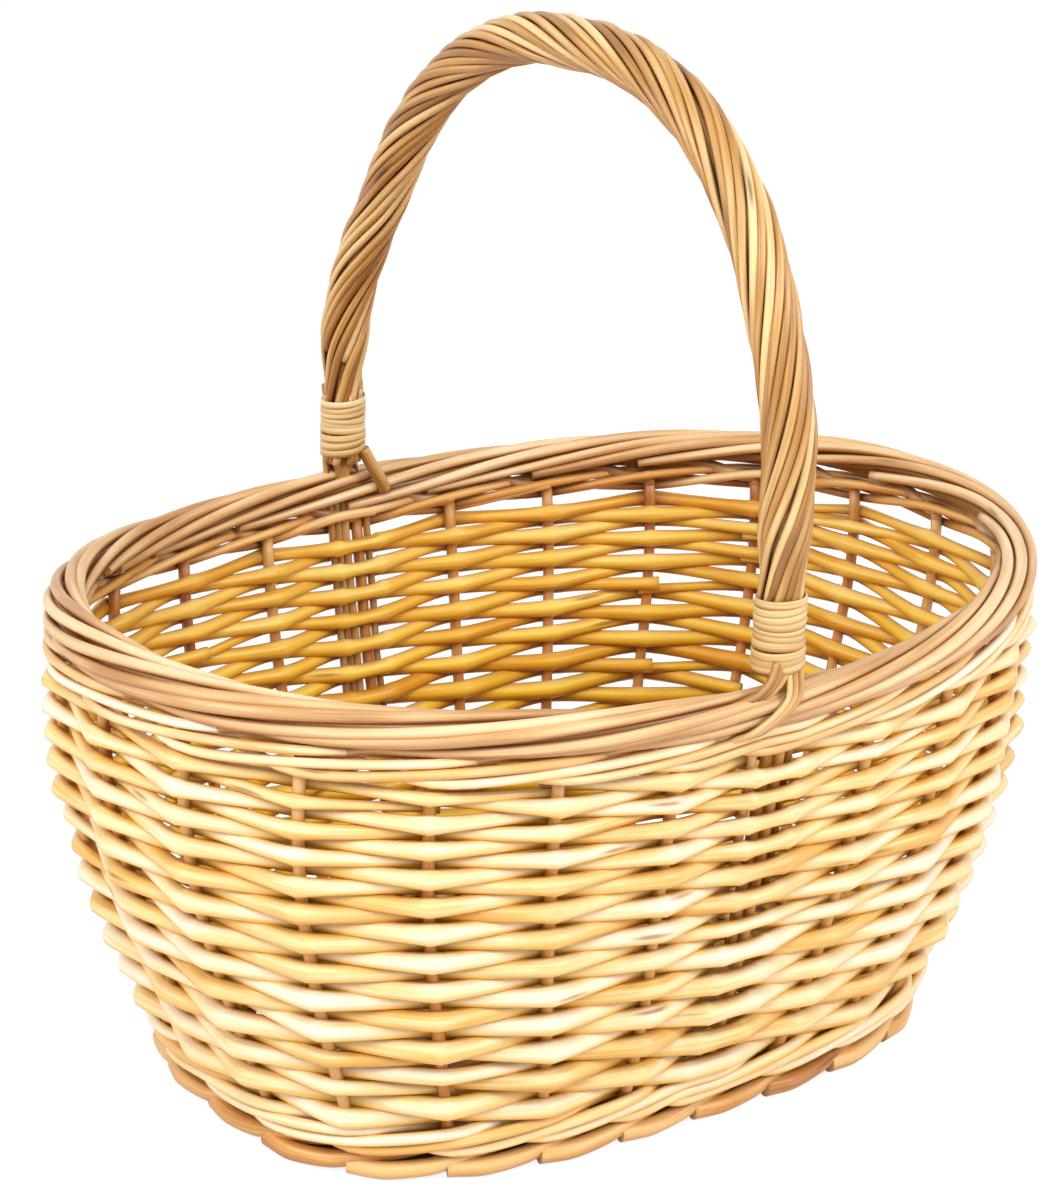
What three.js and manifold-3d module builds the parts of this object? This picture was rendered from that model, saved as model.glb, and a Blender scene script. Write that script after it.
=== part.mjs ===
// Oval picnic basket of round willow with a fixed roped handle over its middle. Millimetres, +Z up.
// The origin is on the ground under the basket's middle; X runs along it and the handle spans Y.
import * as THREE from 'three';
import { mergeVertices } from 'three/addons/utils/BufferGeometryUtils.js';
import Module from 'manifold-3d';

const wasm = await Module();
wasm.setup();

// Wall: half sizes of the line through the stakes, from the base up to the rim
const BASE_HALF_LENGTH = 151;
const LOWER_HALF_LENGTH = 180;
const UPPER_HALF_LENGTH = 203;
const RIM_HALF_LENGTH = 206;
const BASE_HALF_WIDTH = 100;
const LOWER_HALF_WIDTH = 125;
const UPPER_HALF_WIDTH = 140;
const RIM_HALF_WIDTH = 151;
const BASE_SQUARENESS = 3.1;
const RIM_SQUARENESS = 2.15;
const RIM_HEIGHT = 195;
const END_LIFT = 10;

// Rods
const STAKE_PAIRS = 12;
const STAKE_DIAMETER = 5;
const WEAVER_DIAMETER = 6;
const WALE_DIAMETER = 3.6;
const WALE_CLIMB = 3.9;
const WALE_PROUD = 0.8;
const BASE_ROD_DIAMETER = 4.4;
const LONG_STICK_DIAMETER = 4.2;
const SHORT_STICK_DIAMETER = 8;
const LINER_DIAMETER = 3.2;
const CLEARANCE = 0.35;
const ROW_GAP = 0.4;
const END_GAP = 3.4;
const WALE_SPAN = 3;
const SIDE_RUNS = 2;
const SIDE_SEAM = 9;
const BASE_SEAM = 4;

// Foot: the ring that the basket stands on
const FOOT_HEIGHT = 9;
const FOOT_OUTSIDE = 5;
const FOOT_INSIDE = 15;
const FOOT_BEVEL = 2;

// Border: each stake runs on along the rim, winding once round it
const BORDER_RODS = 4;
const BORDER_RUN = 3.45;

// Base
const SHORT_STICK_SPACING = 24;
const LONG_STICK_FAN = 33;
const SHORT_STICK_FAN = 66;
const BASE_OPENING = 16;
const BASE_GAP = 3.5;
const SLATH_END = 4;

// Handle
const HANDLE_RISE = 226;
const HANDLE_HALF_SPAN = 153;
const HANDLE_SQUARENESS = 2.38;
const HANDLE_LEAN = 19.5;
const HANDLE_DIAMETER = 20.8;
const BOW_DIAMETER = 12.4;
const TAIL_DIAMETER = 6;
const TAIL_DEPTH = 112;
const LINER_DEPTH = 90;
const BUNCH_COUNT = 5;
const BUNCH_GAP_DEGREES = 7;
const BUNCH_PITCH = 168;
const BUNCH_LIFT = 7;
const BINDING_TURNS = 10;
const BINDING_DIAMETER = 2.6;
const BINDING_GAP = 0.6;
const WAIST_DIAMETER = 17;
const WAIST_RELEASE = 22;
const LEG_EASE = 90;

// How finely curves are cut, and how many sides the rods have
const OUTLINE_STEPS = 960;
const TANGENT_REACH = 4;
const FINE_STEPS = 300;
const FOOT_POINTS = 36;
const STAKE_STEPS = 6;
const TAIL_STEPS = 4;
const BUNCH_STEPS = 40;
const BINDING_STEPS = 14;
const GAP_PARTS = 4;
const WOVEN_SIDES = 4;
const THIN_SIDES = 5;
const LONG_STICK_SIDES = 6;
const SHORT_STICK_SIDES = 8;
const BOW_SIDES = 10;

// What follows from them
const STAKE_COUNT = 2 * STAKE_PAIRS;
const stakeRadius = STAKE_DIAMETER / 2;
const weaverRadius = WEAVER_DIAMETER / 2;
const waleRadius = WALE_DIAMETER / 2;
const tailRadius = TAIL_DIAMETER / 2;
const linerRadius = LINER_DIAMETER / 2;
const bowRadius = BOW_DIAMETER / 2;

const willow = {
  peeled: new THREE.MeshStandardMaterial({ color: 0xf0d48a, roughness: 0.55, metalness: 0 }),
  pale: new THREE.MeshStandardMaterial({ color: 0xf4e2b0, roughness: 0.55, metalness: 0 }),
  border: new THREE.MeshStandardMaterial({ color: 0xd0a87c, roughness: 0.6, metalness: 0 }),
  handle: new THREE.MeshStandardMaterial({ color: 0xd6994f, roughness: 0.5, metalness: 0 }),
  base: new THREE.MeshStandardMaterial({ color: 0xb5803a, roughness: 0.65, metalness: 0 }),
  binding: new THREE.MeshStandardMaterial({ color: 0xe6bf7a, roughness: 0.5, metalness: 0 }),
};

const basket = new THREE.Group();

function addPiece(name, geometry, material) {
  const piece = new THREE.Mesh(geometry, material.clone());
  piece.name = name;
  basket.add(piece);
  return piece;
}

// A smooth curve through four values at 0, 1/3, 2/3 and 1
function throughFour(values, at) {
  const knots = [0, 1 / 3, 2 / 3, 1];
  return values.reduce((sum, value, i) => sum + value * knots.reduce(
    (share, knot, j) => (j === i ? share : (share * (at - knot)) / (knots[i] - knot)), 1), 0);
}

const power = (value, exponent) => Math.sign(value) * Math.abs(value) ** exponent;

// The wall's outline at a level, 0 on the ground and 1 at the rim, measured by its own length
const outlines = new Map();
function outline(level) {
  if (outlines.has(level)) return outlines.get(level);
  const a = throughFour([BASE_HALF_LENGTH, LOWER_HALF_LENGTH, UPPER_HALF_LENGTH, RIM_HALF_LENGTH], level);
  const b = throughFour([BASE_HALF_WIDTH, LOWER_HALF_WIDTH, UPPER_HALF_WIDTH, RIM_HALF_WIDTH], level);
  const squareness = THREE.MathUtils.lerp(BASE_SQUARENESS, RIM_SQUARENESS, level);
  const points = [];
  for (let i = 0; i <= OUTLINE_STEPS; i++) {
    const angle = (2 * Math.PI * i) / OUTLINE_STEPS - Math.PI / 2;
    points.push(new THREE.Vector2(
      a * power(Math.cos(angle), 2 / squareness), b * power(Math.sin(angle), 2 / squareness)));
  }
  const lengths = [0];
  for (let i = 1; i <= OUTLINE_STEPS; i++) lengths.push(lengths[i - 1] + points[i].distanceTo(points[i - 1]));
  const shape = { points, lengths, total: lengths[OUTLINE_STEPS] };
  outlines.set(level, shape);
  return shape;
}

function outlinePoint(level, distance) {
  const { points, lengths, total } = outline(level);
  const wanted = ((distance % total) + total) % total;
  let low = 0;
  let high = lengths.length - 1;
  while (high - low > 1) {
    const middle = (low + high) >> 1;
    if (lengths[middle] <= wanted) low = middle;
    else high = middle;
  }
  return points[low].clone().lerp(points[high], (wanted - lengths[low]) / (lengths[high] - lengths[low]));
}

// A point on the wall: stations count stakes, along is measured round the wall and outward from it
function wallPoint(station, level, outward = 0, along = 0, up = 0) {
  const { total } = outline(level);
  const distance = (station / STAKE_COUNT) * total + along;
  const point = outlinePoint(level, distance);
  const behind = outlinePoint(level, distance - TANGENT_REACH);
  const ahead = outlinePoint(level, distance + TANGENT_REACH).sub(behind).normalize();
  const height = level * RIM_HEIGHT + level ** 2 * END_LIFT * (point.x / RIM_HALF_LENGTH) ** 2;
  return new THREE.Vector3(point.x + ahead.y * outward, point.y - ahead.x * outward, height + up);
}

// A path of straight steps whose frames are as long as the rod's radius, so the rod can taper
class RodPath extends THREE.Curve {
  constructor(points, radii, references) {
    super();
    Object.assign(this, { points, radii, references });
  }

  getPoint(t, target = new THREE.Vector3()) {
    const place = t * (this.points.length - 1);
    const i = Math.min(Math.floor(place), this.points.length - 2);
    return target.copy(this.points[i]).lerp(this.points[i + 1], place - i);
  }

  getSpacedPoints() {
    return this.points;
  }

  computeFrenetFrames() {
    const frames = { tangents: [], normals: [], binormals: [] };
    const last = this.points.length - 1;
    this.points.forEach((point, i) => {
      const tangent = new THREE.Vector3();
      if (i > 0) tangent.add(point.clone().sub(this.points[i - 1]).normalize());
      if (i < last) tangent.add(this.points[i + 1].clone().sub(point).normalize());
      tangent.normalize();
      const binormal = tangent.clone().cross(this.references[i]).normalize();
      const normal = binormal.clone().cross(tangent);
      frames.tangents.push(tangent);
      frames.normals.push(normal.multiplyScalar(this.radii[i]));
      frames.binormals.push(binormal.multiplyScalar(this.radii[i]));
    });
    return frames;
  }
}

function sweep(section, points, radii, references) {
  const path = new RodPath(points, radii, references);
  return new THREE.ExtrudeGeometry(section, {
    steps: points.length - 1, bevelEnabled: false, extrudePath: path,
  });
}

const polygon = (sides) => new THREE.Shape(Array.from({ length: sides }, (_, i) => {
  const angle = (2 * Math.PI * i) / sides;
  return new THREE.Vector2(Math.cos(angle), Math.sin(angle));
}));

const UP = new THREE.Vector3(0, 0, 1);

// A round rod through the points; reference is the way its first edge faces
function rod(points, radius, sides, reference = UP) {
  const radii = points.map((point, i) => (Array.isArray(radius) ? radius[i] : radius));
  const references = points.map((point, i) => (Array.isArray(reference) ? reference[i] : reference));
  return sweep(polygon(sides), points, radii, references);
}

// Cuts a length off both ends of a run of points
function trimEnds(points, cut) {
  const trimmed = points.map((point) => point.clone());
  const last = trimmed.length - 1;
  const pull = (end, inner) => end.add(inner.clone().sub(end).setLength(cut));
  pull(trimmed[0], trimmed[1]);
  pull(trimmed[last], trimmed[last - 1]);
  return trimmed;
}

// The handle's tail and its liners stand beside a stake: tail and first liner before it, one after
const HALF_TURN = STAKE_COUNT / 2;
const isFoot = (station) => ((station % HALF_TURN) + HALF_TURN) % HALF_TURN === 0;
const isBackFoot = (station) => isFoot(station) && Math.abs(station / HALF_TURN) % 2 === 1;
const tailAlong = -(stakeRadius + tailRadius + CLEARANCE);
const firstLinerAlong = tailAlong - tailRadius - linerRadius - CLEARANCE;
const secondLinerAlong = stakeRadius + linerRadius + CLEARANCE;
const groupStart = firstLinerAlong - linerRadius;
const groupEnd = secondLinerAlong + linerRadius;

// Where a group starts and ends at a station; the back foot's is the front foot's seen in a mirror
const groupAt = (station) => {
  if (!isFoot(station)) return [0, 0];
  return isBackFoot(station) ? [-groupEnd, -groupStart] : [groupStart, groupEnd];
};

// How far out a rod of this radius runs to clear what stands at a station
const standing = (station) => (isFoot(station) ? Math.max(tailRadius, stakeRadius) : stakeRadius);
const clearReach = (station, radius) => standing(station) + radius + CLEARANCE;

// The steepest slant of a rod that changes sides next to a station
function slantBeside(station, level, radius) {
  const spacing = outline(level).total / STAKE_COUNT;
  const from = clearReach(station, radius);
  const slant = (next, taken) => Math.atan2(from + clearReach(next, radius), spacing - taken);
  const before = slant(station - 1, groupAt(station - 1)[1]);
  const after = slant(station + 1, -groupAt(station + 1)[0]);
  return Math.max(before, after);
}

// Where a woven rod passes a stake on one side, far enough out to clear it on the slant
function passStake(station, height, side, radius, proud = 0) {
  const level = height / RIM_HEIGHT;
  const before = wallPoint(station - 1, level);
  const here = wallPoint(station, level);
  const after = wallPoint(station + 1, level);
  const bend = here.clone().sub(before).angleTo(after.clone().sub(here)) / 2;
  const lean = Math.max(slantBeside(station, level, radius) + side * bend, 0);
  const offset = clearReach(station, radius) / Math.cos(lean) + proud;
  const stops = isFoot(station) ? groupAt(station) : [0];
  return stops.map((along) => wallPoint(station, level, side * offset, along));
}

// Foot ring
const footOutline = (outward) => Array.from({ length: FOOT_POINTS }, (_, i) => {
  const point = wallPoint((i / FOOT_POINTS) * STAKE_COUNT, 0, outward);
  return new THREE.Vector2(point.x, point.y);
});
const footShape = new THREE.Shape(footOutline(FOOT_OUTSIDE - FOOT_BEVEL));
footShape.holes.push(new THREE.Path(footOutline(FOOT_BEVEL - FOOT_INSIDE)));
const footGeometry = new THREE.ExtrudeGeometry(footShape, {
  depth: FOOT_HEIGHT - 2 * FOOT_BEVEL,
  bevelThickness: FOOT_BEVEL,
  bevelSize: FOOT_BEVEL,
  bevelSegments: 1,
});
addPiece('foot_border', footGeometry, willow.border).position.z = FOOT_BEVEL;

// Border: four rods wind together round the rim, so each stays clear of the next between stations
const borderTurn = (2 * Math.PI) / BORDER_RODS;
const borderChord = (STAKE_DIAMETER + CLEARANCE) / (2 * Math.sin(borderTurn / 2));
const borderRadius = borderChord / Math.cos(borderTurn / 4) + CLEARANCE;
const borderHalf = borderRadius + stakeRadius;
const borderSpread = tailRadius + stakeRadius + 2 * CLEARANCE;

function borderSlot(station, run, along, spread) {
  const angle = (run - 1 / 2) * borderTurn;
  const sideways = borderRadius * Math.cos(angle);
  const outward = spread ? Math.sign(sideways) * Math.max(Math.abs(sideways), borderSpread) : sideways;
  return wallPoint(station, 1, outward, along, borderRadius * Math.sin(angle));
}

function borderRun(stake) {
  const points = [];
  for (let half = 0; half <= 2 * BORDER_RODS; half++) {
    const run = Math.min(half / 2, BORDER_RUN);
    const station = stake + run;
    if (half % 2 === 0 && half > 0 && run < BORDER_RUN && isFoot(station)) {
      const tail = isBackFoot(station) ? -tailAlong : tailAlong;
      points.push(borderSlot(station, run, tail - borderSpread, true));
      points.push(borderSlot(station, run, tail + borderSpread, true));
    } else {
      points.push(borderSlot(station, run, 0, false));
    }
    if (run === BORDER_RUN) break;
  }
  return points;
}

// Levels of the wale rods and of the side rows between them
const levelOf = (height) => height / RIM_HEIGHT;
const waleHalf = WALE_CLIMB + waleRadius;
const lowerWaleHeight = FOOT_HEIGHT + CLEARANCE + waleHalf;
const upperWaleHeight = RIM_HEIGHT - borderHalf - CLEARANCE - waleHalf;
const firstRowHeight = lowerWaleHeight + waleHalf + ROW_GAP + weaverRadius;
const lastRowHeight = upperWaleHeight - waleHalf - ROW_GAP - weaverRadius;
const rowPairs = Math.floor(((lastRowHeight - firstRowHeight) / (WEAVER_DIAMETER + ROW_GAP) + 1) / 2);
const rowPitch = (lastRowHeight - firstRowHeight) / (2 * rowPairs - 1);

// Stakes: each stands on the foot ring, follows the wall and turns down into the border
const stakeTopHeight = RIM_HEIGHT - borderHalf - CLEARANCE;
const footLevel = levelOf(FOOT_HEIGHT + CLEARANCE);
for (let stake = 0; stake < STAKE_COUNT; stake++) {
  const points = [];
  for (let step = 0; step <= STAKE_STEPS; step++) {
    const level = THREE.MathUtils.lerp(footLevel, levelOf(stakeTopHeight), step / STAKE_STEPS);
    points.push(wallPoint(stake, level));
  }
  points.push(...borderRun(stake));
  const outwards = wallPoint(stake, footLevel, 1).sub(wallPoint(stake, footLevel));
  const references = points.map((point, i) => (i <= STAKE_STEPS + 1 ? outwards : UP));
  const name = `stake_${String(stake + 1).padStart(2, '0')}`;
  addPiece(name, rod(points, stakeRadius, THIN_SIDES, references), willow.border);
}

// Wales: three rods, each in front of two stakes and behind the third
function waleRod(phase, height) {
  const points = [];
  for (let step = 0; step <= STAKE_COUNT; step++) {
    const station = SIDE_SEAM + step;
    const turn = (station + phase) % WALE_SPAN;
    const side = turn === 0 ? -1 : 1;
    const climb = [0, -WALE_CLIMB, WALE_CLIMB][turn];
    const proud = turn === 0 ? 0 : WALE_PROUD;
    points.push(...passStake(station, height + climb, side, waleRadius, proud));
  }
  return rod(trimEnds(points, END_GAP / 2), waleRadius, WOVEN_SIDES);
}
for (let phase = 0; phase < WALE_SPAN; phase++) {
  addPiece(`lower_wale_rod_${phase + 1}`, waleRod(phase, lowerWaleHeight), willow.peeled);
  addPiece(`upper_wale_rod_${phase + 1}`, waleRod(phase, upperWaleHeight), willow.pale);
}

// Rounds of one rod of a pair: it climbs two rows over two spaces, where one round meets the next
function roundsOf(stations, rounds, joined, place) {
  const points = [];
  const steps = joined ? rounds * stations : rounds * stations - 2;
  for (let step = 0; step <= steps; step++) {
    const climb = step % stations === stations - 1 ? 0.5 : 0;
    points.push(...place(step, Math.floor(step / stations) + climb));
  }
  return trimEnds(points, END_GAP / 2);
}

// Side weavers: two rods run together, one behind the stakes that the other passes in front of
for (const [strand, letter] of ['a', 'b'].entries()) {
  let firstRound = 0;
  for (let run = 0; run < SIDE_RUNS; run++) {
    const rounds = Math.floor((rowPairs + run) / SIDE_RUNS);
    const joined = run < SIDE_RUNS - 1;
    const from = firstRound;
    const points = roundsOf(STAKE_COUNT, rounds, joined, (step, round) => {
      const station = SIDE_SEAM + step;
      const side = (station + strand) % 2 === 0 ? 1 : -1;
      const height = firstRowHeight + (2 * (from + round) + strand) * rowPitch;
      return passStake(station, height, side, weaverRadius);
    });
    addPiece(`side_weaver_${letter}${run + 1}`, rod(points, weaverRadius, WOVEN_SIDES), willow.peeled);
    firstRound += rounds;
  }
}

// Base sticks: the short ones are pierced, and the long ones run through them and fan out
const longRadius = LONG_STICK_DIAMETER / 2;
const shortRadius = SHORT_STICK_DIAMETER / 2;
const baseRodRadius = BASE_ROD_DIAMETER / 2;
const longSpacing = LONG_STICK_DIAMETER + CLEARANCE;
const slathHalfWidth = longSpacing + longRadius;
const slathHalfLength = 2 * SHORT_STICK_SPACING + shortRadius + SLATH_END;
const baseReach = shortRadius + baseRodRadius + CLEARANCE;
const wallReach = stakeRadius + WALE_DIAMETER + BASE_GAP;

// One ray for each stick end, in order round the base, from the slath's edge outwards
const degrees = THREE.MathUtils.degToRad;
function quarterRays() {
  const ray = (x, y, angle, stick) => ({ x, y, angle: degrees(angle), stick });
  return [
    ray(slathHalfLength, longSpacing, LONG_STICK_FAN, 'long'),
    ray(2 * SHORT_STICK_SPACING, slathHalfWidth, SHORT_STICK_FAN, 'short'),
    ray(SHORT_STICK_SPACING, slathHalfWidth, 90, 'short'),
  ];
}
const mirrorX = (ray) => ({ ...ray, x: -ray.x, angle: Math.PI - ray.angle });
const mirrorY = (ray) => ({ ...ray, y: -ray.y, angle: -ray.angle });
const rays = [
  { x: slathHalfLength, y: 0, angle: 0, stick: 'long' },
  ...quarterRays(),
  { x: 0, y: slathHalfWidth, angle: Math.PI / 2, stick: 'short' },
  ...quarterRays().map(mirrorX).reverse(),
  { x: -slathHalfLength, y: 0, angle: Math.PI, stick: 'long' },
  ...quarterRays().map(mirrorX).map(mirrorY),
  { x: 0, y: -slathHalfWidth, angle: -Math.PI / 2, stick: 'short' },
  ...quarterRays().map(mirrorY).reverse(),
];
const rayAt = (index) => rays[(index + 2 * rays.length) % rays.length];
const rayPoint = (ray, distance, height = 0) => new THREE.Vector3(
  ray.x + Math.cos(ray.angle) * distance, ray.y + Math.sin(ray.angle) * distance, height);

// How far a ray goes before it meets the wall's lowest rods
function rayLength(ray) {
  const { points } = outline(levelOf(lowerWaleHeight));
  const start = new THREE.Vector2(ray.x, ray.y);
  const direction = new THREE.Vector2(Math.cos(ray.angle), Math.sin(ray.angle));
  let best = 0;
  let closest = Infinity;
  for (const point of points) {
    const offset = point.clone().sub(start);
    const aside = Math.abs(offset.cross(direction));
    if (offset.dot(direction) > 0 && aside < closest) {
      closest = aside;
      best = offset.dot(direction);
    }
  }
  return best - wallReach;
}

// Rows of the base weave, and how far a rod passes over or under each stick
const baseFan = Math.cos(degrees(LONG_STICK_FAN / 2));
const basePitch = (BASE_ROD_DIAMETER + ROW_GAP) / baseFan;
const shortestRay = Math.min(...rays.map(rayLength));
const baseRoundPairs = Math.floor(((shortestRay - BASE_OPENING - baseRodRadius) / basePitch + 1) / 2);
const rowPoint = (step, row, height = 0) => {
  const ray = rayAt(step);
  const share = row / (2 * baseRoundPairs - 1);
  return rayPoint(ray, THREE.MathUtils.lerp(BASE_OPENING, rayLength(ray) - baseRodRadius, share), height);
};
function stickReach(step, row) {
  const ray = rayAt(step);
  const point = rowPoint(step, row);
  const gaps = [rowPoint(step - 1, row), rowPoint(step + 1, row)].map((next) => next.distanceTo(point));
  const reach = (ray.stick === 'long' ? longRadius : shortRadius) + baseRodRadius + CLEARANCE;
  return reach / Math.cos(Math.atan2(reach + baseReach, Math.min(...gaps)));
}
const outerReach = Math.max(...rays.map((ray, step) => stickReach(step, 2 * baseRoundPairs - 3)));
const baseHeight = FOOT_HEIGHT + CLEARANCE + outerReach + baseRodRadius;

function stickBetween(from, to, radius, sides) {
  const points = [
    rayPoint(from, rayLength(from) - radius, baseHeight), rayPoint(from, BASE_OPENING / 2, baseHeight),
    rayPoint(from, 0, baseHeight), rayPoint(to, 0, baseHeight),
    rayPoint(to, BASE_OPENING / 2, baseHeight), rayPoint(to, rayLength(to) - radius, baseHeight),
  ];
  return rod(points, radius, sides);
}

function toManifold(geometry) {
  const bare = new THREE.BufferGeometry().setAttribute('position', geometry.getAttribute('position').clone());
  if (geometry.index) bare.setIndex(geometry.index.clone());
  const merged = mergeVertices(bare, 1e-4);
  return new wasm.Manifold(new wasm.Mesh({
    numProp: 3,
    vertProperties: new Float32Array(merged.getAttribute('position').array),
    triVerts: new Uint32Array(merged.index.array),
  }));
}

function fromManifold(solid) {
  const mesh = solid.getMesh();
  const geometry = new THREE.BufferGeometry();
  geometry.setAttribute('position', new THREE.BufferAttribute(new Float32Array(mesh.vertProperties), 3));
  geometry.setIndex(new THREE.BufferAttribute(new Uint32Array(mesh.triVerts), 1));
  geometry.computeVertexNormals();
  return geometry;
}

const longEnds = [[1, 7], [0, 8], [-1, 9]];
const shortEnds = [2, 3, 4, 5, 6];
longEnds.forEach(([from, to], i) => {
  const stick = stickBetween(rayAt(from), rayAt(to), longRadius, LONG_STICK_SIDES);
  addPiece(`long_base_stick_${i + 1}`, stick, willow.base);
});
const slot = new THREE.BoxGeometry(
  2 * SHORT_STICK_DIAMETER, 2 * (slathHalfWidth + CLEARANCE), LONG_STICK_DIAMETER + 2 * CLEARANCE);
shortEnds.forEach((end, i) => {
  const whole = toManifold(stickBetween(rayAt(end), rayAt(-end), shortRadius, SHORT_STICK_SIDES));
  const cut = toManifold(slot.clone().translate(rayAt(end).x, 0, baseHeight));
  addPiece(`short_base_stick_${i + 1}`, fromManifold(whole.subtract(cut)), willow.base);
});

// Base weave: two rods in rounds, one over the sticks that the other passes under
for (const [strand, letter] of ['a', 'b'].entries()) {
  const points = roundsOf(rays.length, baseRoundPairs, false, (step, round) => {
    const row = 2 * round + strand;
    const side = (step + strand) % 2 === 0 ? 1 : -1;
    const lift = side * stickReach(BASE_SEAM + step, row);
    return [rowPoint(BASE_SEAM + step, row, baseHeight + lift)];
  });
  addPiece(`base_weaver_${letter}`, rod(points, baseRodRadius, WOVEN_SIDES), willow.base);
}

// Handle bow: tails down the wall beside two stakes, joined by an arch
const borderTop = RIM_HEIGHT + borderHalf;
const bunchFoot = borderTop + BUNCH_LIFT;
const bindingPitch = BINDING_DIAMETER + BINDING_GAP;
const bindingHeight = BINDING_TURNS * bindingPitch;
const waistTop = bunchFoot + bindingHeight + 2 * BINDING_DIAMETER;
const outerRadius = HANDLE_DIAMETER / 2;
const waist = WAIST_DIAMETER / HANDLE_DIAMETER;

const archPoint = (angle) => {
  const across = -Math.cos(angle);
  return new THREE.Vector3(
    wallPoint(0, 1, 0, tailAlong).x,
    HANDLE_HALF_SPAN * power(across, 2 / HANDLE_SQUARENESS) - HANDLE_LEAN * Math.sin(angle),
    RIM_HEIGHT + HANDLE_RISE * Math.sin(angle) ** (2 / HANDLE_SQUARENESS),
  );
};

// A leg stands upright through its binding and is eased into the arch above it; side is -1 in front
const legTop = waistTop + LEG_EASE;
function legPoint(height, side) {
  const rim = wallPoint(0, 1, 0, tailAlong);
  const rise = (height - RIM_HEIGHT) / HANDLE_RISE;
  const angle = Math.asin(Math.max(rise, 0) ** (HANDLE_SQUARENESS / 2));
  const arch = archPoint(side < 0 ? angle : Math.PI - angle);
  const ease = THREE.MathUtils.smoothstep(height, waistTop, legTop);
  return new THREE.Vector3(arch.x, THREE.MathUtils.lerp(-side * rim.y, arch.y, ease), height);
}

// The arch above the legs
function archLine() {
  const start = Math.asin(((legTop - RIM_HEIGHT) / HANDLE_RISE) ** (HANDLE_SQUARENESS / 2));
  return Array.from({ length: FINE_STEPS + 1 }, (_, i) => archPoint(
    THREE.MathUtils.lerp(start, Math.PI - start, i / FINE_STEPS)));
}

// The same line in even steps of length
function evenly(points, steps) {
  const lengths = [0];
  for (let i = 1; i < points.length; i++) lengths.push(lengths[i - 1] + points[i].distanceTo(points[i - 1]));
  const total = lengths[lengths.length - 1];
  const even = [];
  for (let step = 0; step <= steps; step++) {
    const wanted = (total * step) / steps;
    let i = 1;
    while (i < points.length - 1 && lengths[i] < wanted) i++;
    const share = (wanted - lengths[i - 1]) / (lengths[i] - lengths[i - 1]);
    even.push(points[i - 1].clone().lerp(points[i], share));
  }
  return even;
}

// The handle narrows to its waist where it is bound, and to its tail below that
function waistAt(height) {
  const release = THREE.MathUtils.smoothstep(height, waistTop, waistTop + WAIST_RELEASE);
  return THREE.MathUtils.lerp(waist, 1, release);
}
function bowRadiusAt(height) {
  const slype = THREE.MathUtils.clamp((height - bunchFoot) / (waistTop - bunchFoot), 0, 1);
  return THREE.MathUtils.lerp(tailRadius, bowRadius * waistAt(height), slype);
}

// The line that bow and roping share, in even steps from one border to the other
const fineLeg = (side) => Array.from({ length: FINE_STEPS }, (_, i) => legPoint(
  THREE.MathUtils.lerp(bunchFoot, legTop, i / FINE_STEPS), side));
const fineRope = [...fineLeg(-1), ...archLine(), ...fineLeg(1).reverse()];
const ropeLine = evenly(fineRope, BUNCH_STEPS);
const ropeLength = fineRope.slice(1).reduce((sum, point, i) => sum + point.distanceTo(fineRope[i]), 0);
const twistStep = (2 * Math.PI * ropeLength) / BUNCH_PITCH / BUNCH_STEPS;
const bunchHalf = Math.PI / BUNCH_COUNT - degrees(BUNCH_GAP_DEGREES / 2);
const bunchInner = (bowRadius + CLEARANCE) / outerRadius / Math.cos((bunchHalf + twistStep) / 2);
const acrossHandle = new THREE.Vector3(1, 0, 0);
const downWall = (station, depth, beside) => Array.from({ length: TAIL_STEPS + 1 }, (_, i) => {
  const height = THREE.MathUtils.lerp(stakeTopHeight - depth, stakeTopHeight, i / TAIL_STEPS);
  return wallPoint(station, levelOf(height), 0, beside);
});
const backTail = downWall(HALF_TURN, TAIL_DEPTH, -tailAlong).reverse();
const bowPoints = [...downWall(0, TAIL_DEPTH, tailAlong), ...ropeLine, ...backTail];
const bowRadii = bowPoints.map((point) => bowRadiusAt(point.z));
addPiece('handle_bow', rod(bowPoints, bowRadii, BOW_SIDES, acrossHandle), willow.handle);

// Roping: bunches of thin rods laid round the bow, wound to the right
const arcPoint = (radius, angle) => new THREE.Vector2(radius * Math.cos(angle), radius * Math.sin(angle));
const bunchSection = new THREE.Shape([
  arcPoint(1, -bunchHalf), arcPoint(1, 0), arcPoint(1, bunchHalf),
  arcPoint(bunchInner, bunchHalf), arcPoint(bunchInner, 0), arcPoint(bunchInner, -bunchHalf),
]);
for (let bunch = 0; bunch < BUNCH_COUNT; bunch++) {
  const references = ropeLine.map((point, i) => {
    const before = ropeLine[Math.max(i - 1, 0)];
    const after = ropeLine[Math.min(i + 1, BUNCH_STEPS)];
    const tangent = after.clone().sub(before).normalize();
    const turn = (2 * Math.PI * bunch) / BUNCH_COUNT + i * twistStep;
    return acrossHandle.clone().applyAxisAngle(tangent, turn);
  });
  const radii = ropeLine.map((point) => outerRadius * waistAt(point.z));
  addPiece(`handle_bunch_${bunch + 1}`, sweep(bunchSection, ropeLine, radii, references), willow.handle);
}

// Bindings: one skein wound round the foot of each leg
const windReach = WAIST_DIAMETER / 2 + CLEARANCE + BINDING_DIAMETER / 2;
const windRadius = windReach / Math.cos(Math.PI / BINDING_STEPS);
function bindingLine(side) {
  const points = [];
  const steps = BINDING_TURNS * BINDING_STEPS;
  const start = bunchFoot + BINDING_DIAMETER / 2;
  for (let i = 0; i <= steps; i++) {
    const turn = (2 * Math.PI * i) / BINDING_STEPS;
    const centre = legPoint(start + bindingHeight * (i / steps), side);
    points.push(centre.add(new THREE.Vector3(windRadius * Math.cos(turn), windRadius * Math.sin(turn), 0)));
  }
  const straight = (end, inner) => end.clone().add(end.clone().sub(inner).setLength(BINDING_DIAMETER));
  return [straight(points[0], points[1]), ...points, straight(points[steps], points[steps - 1])];
}

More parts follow.
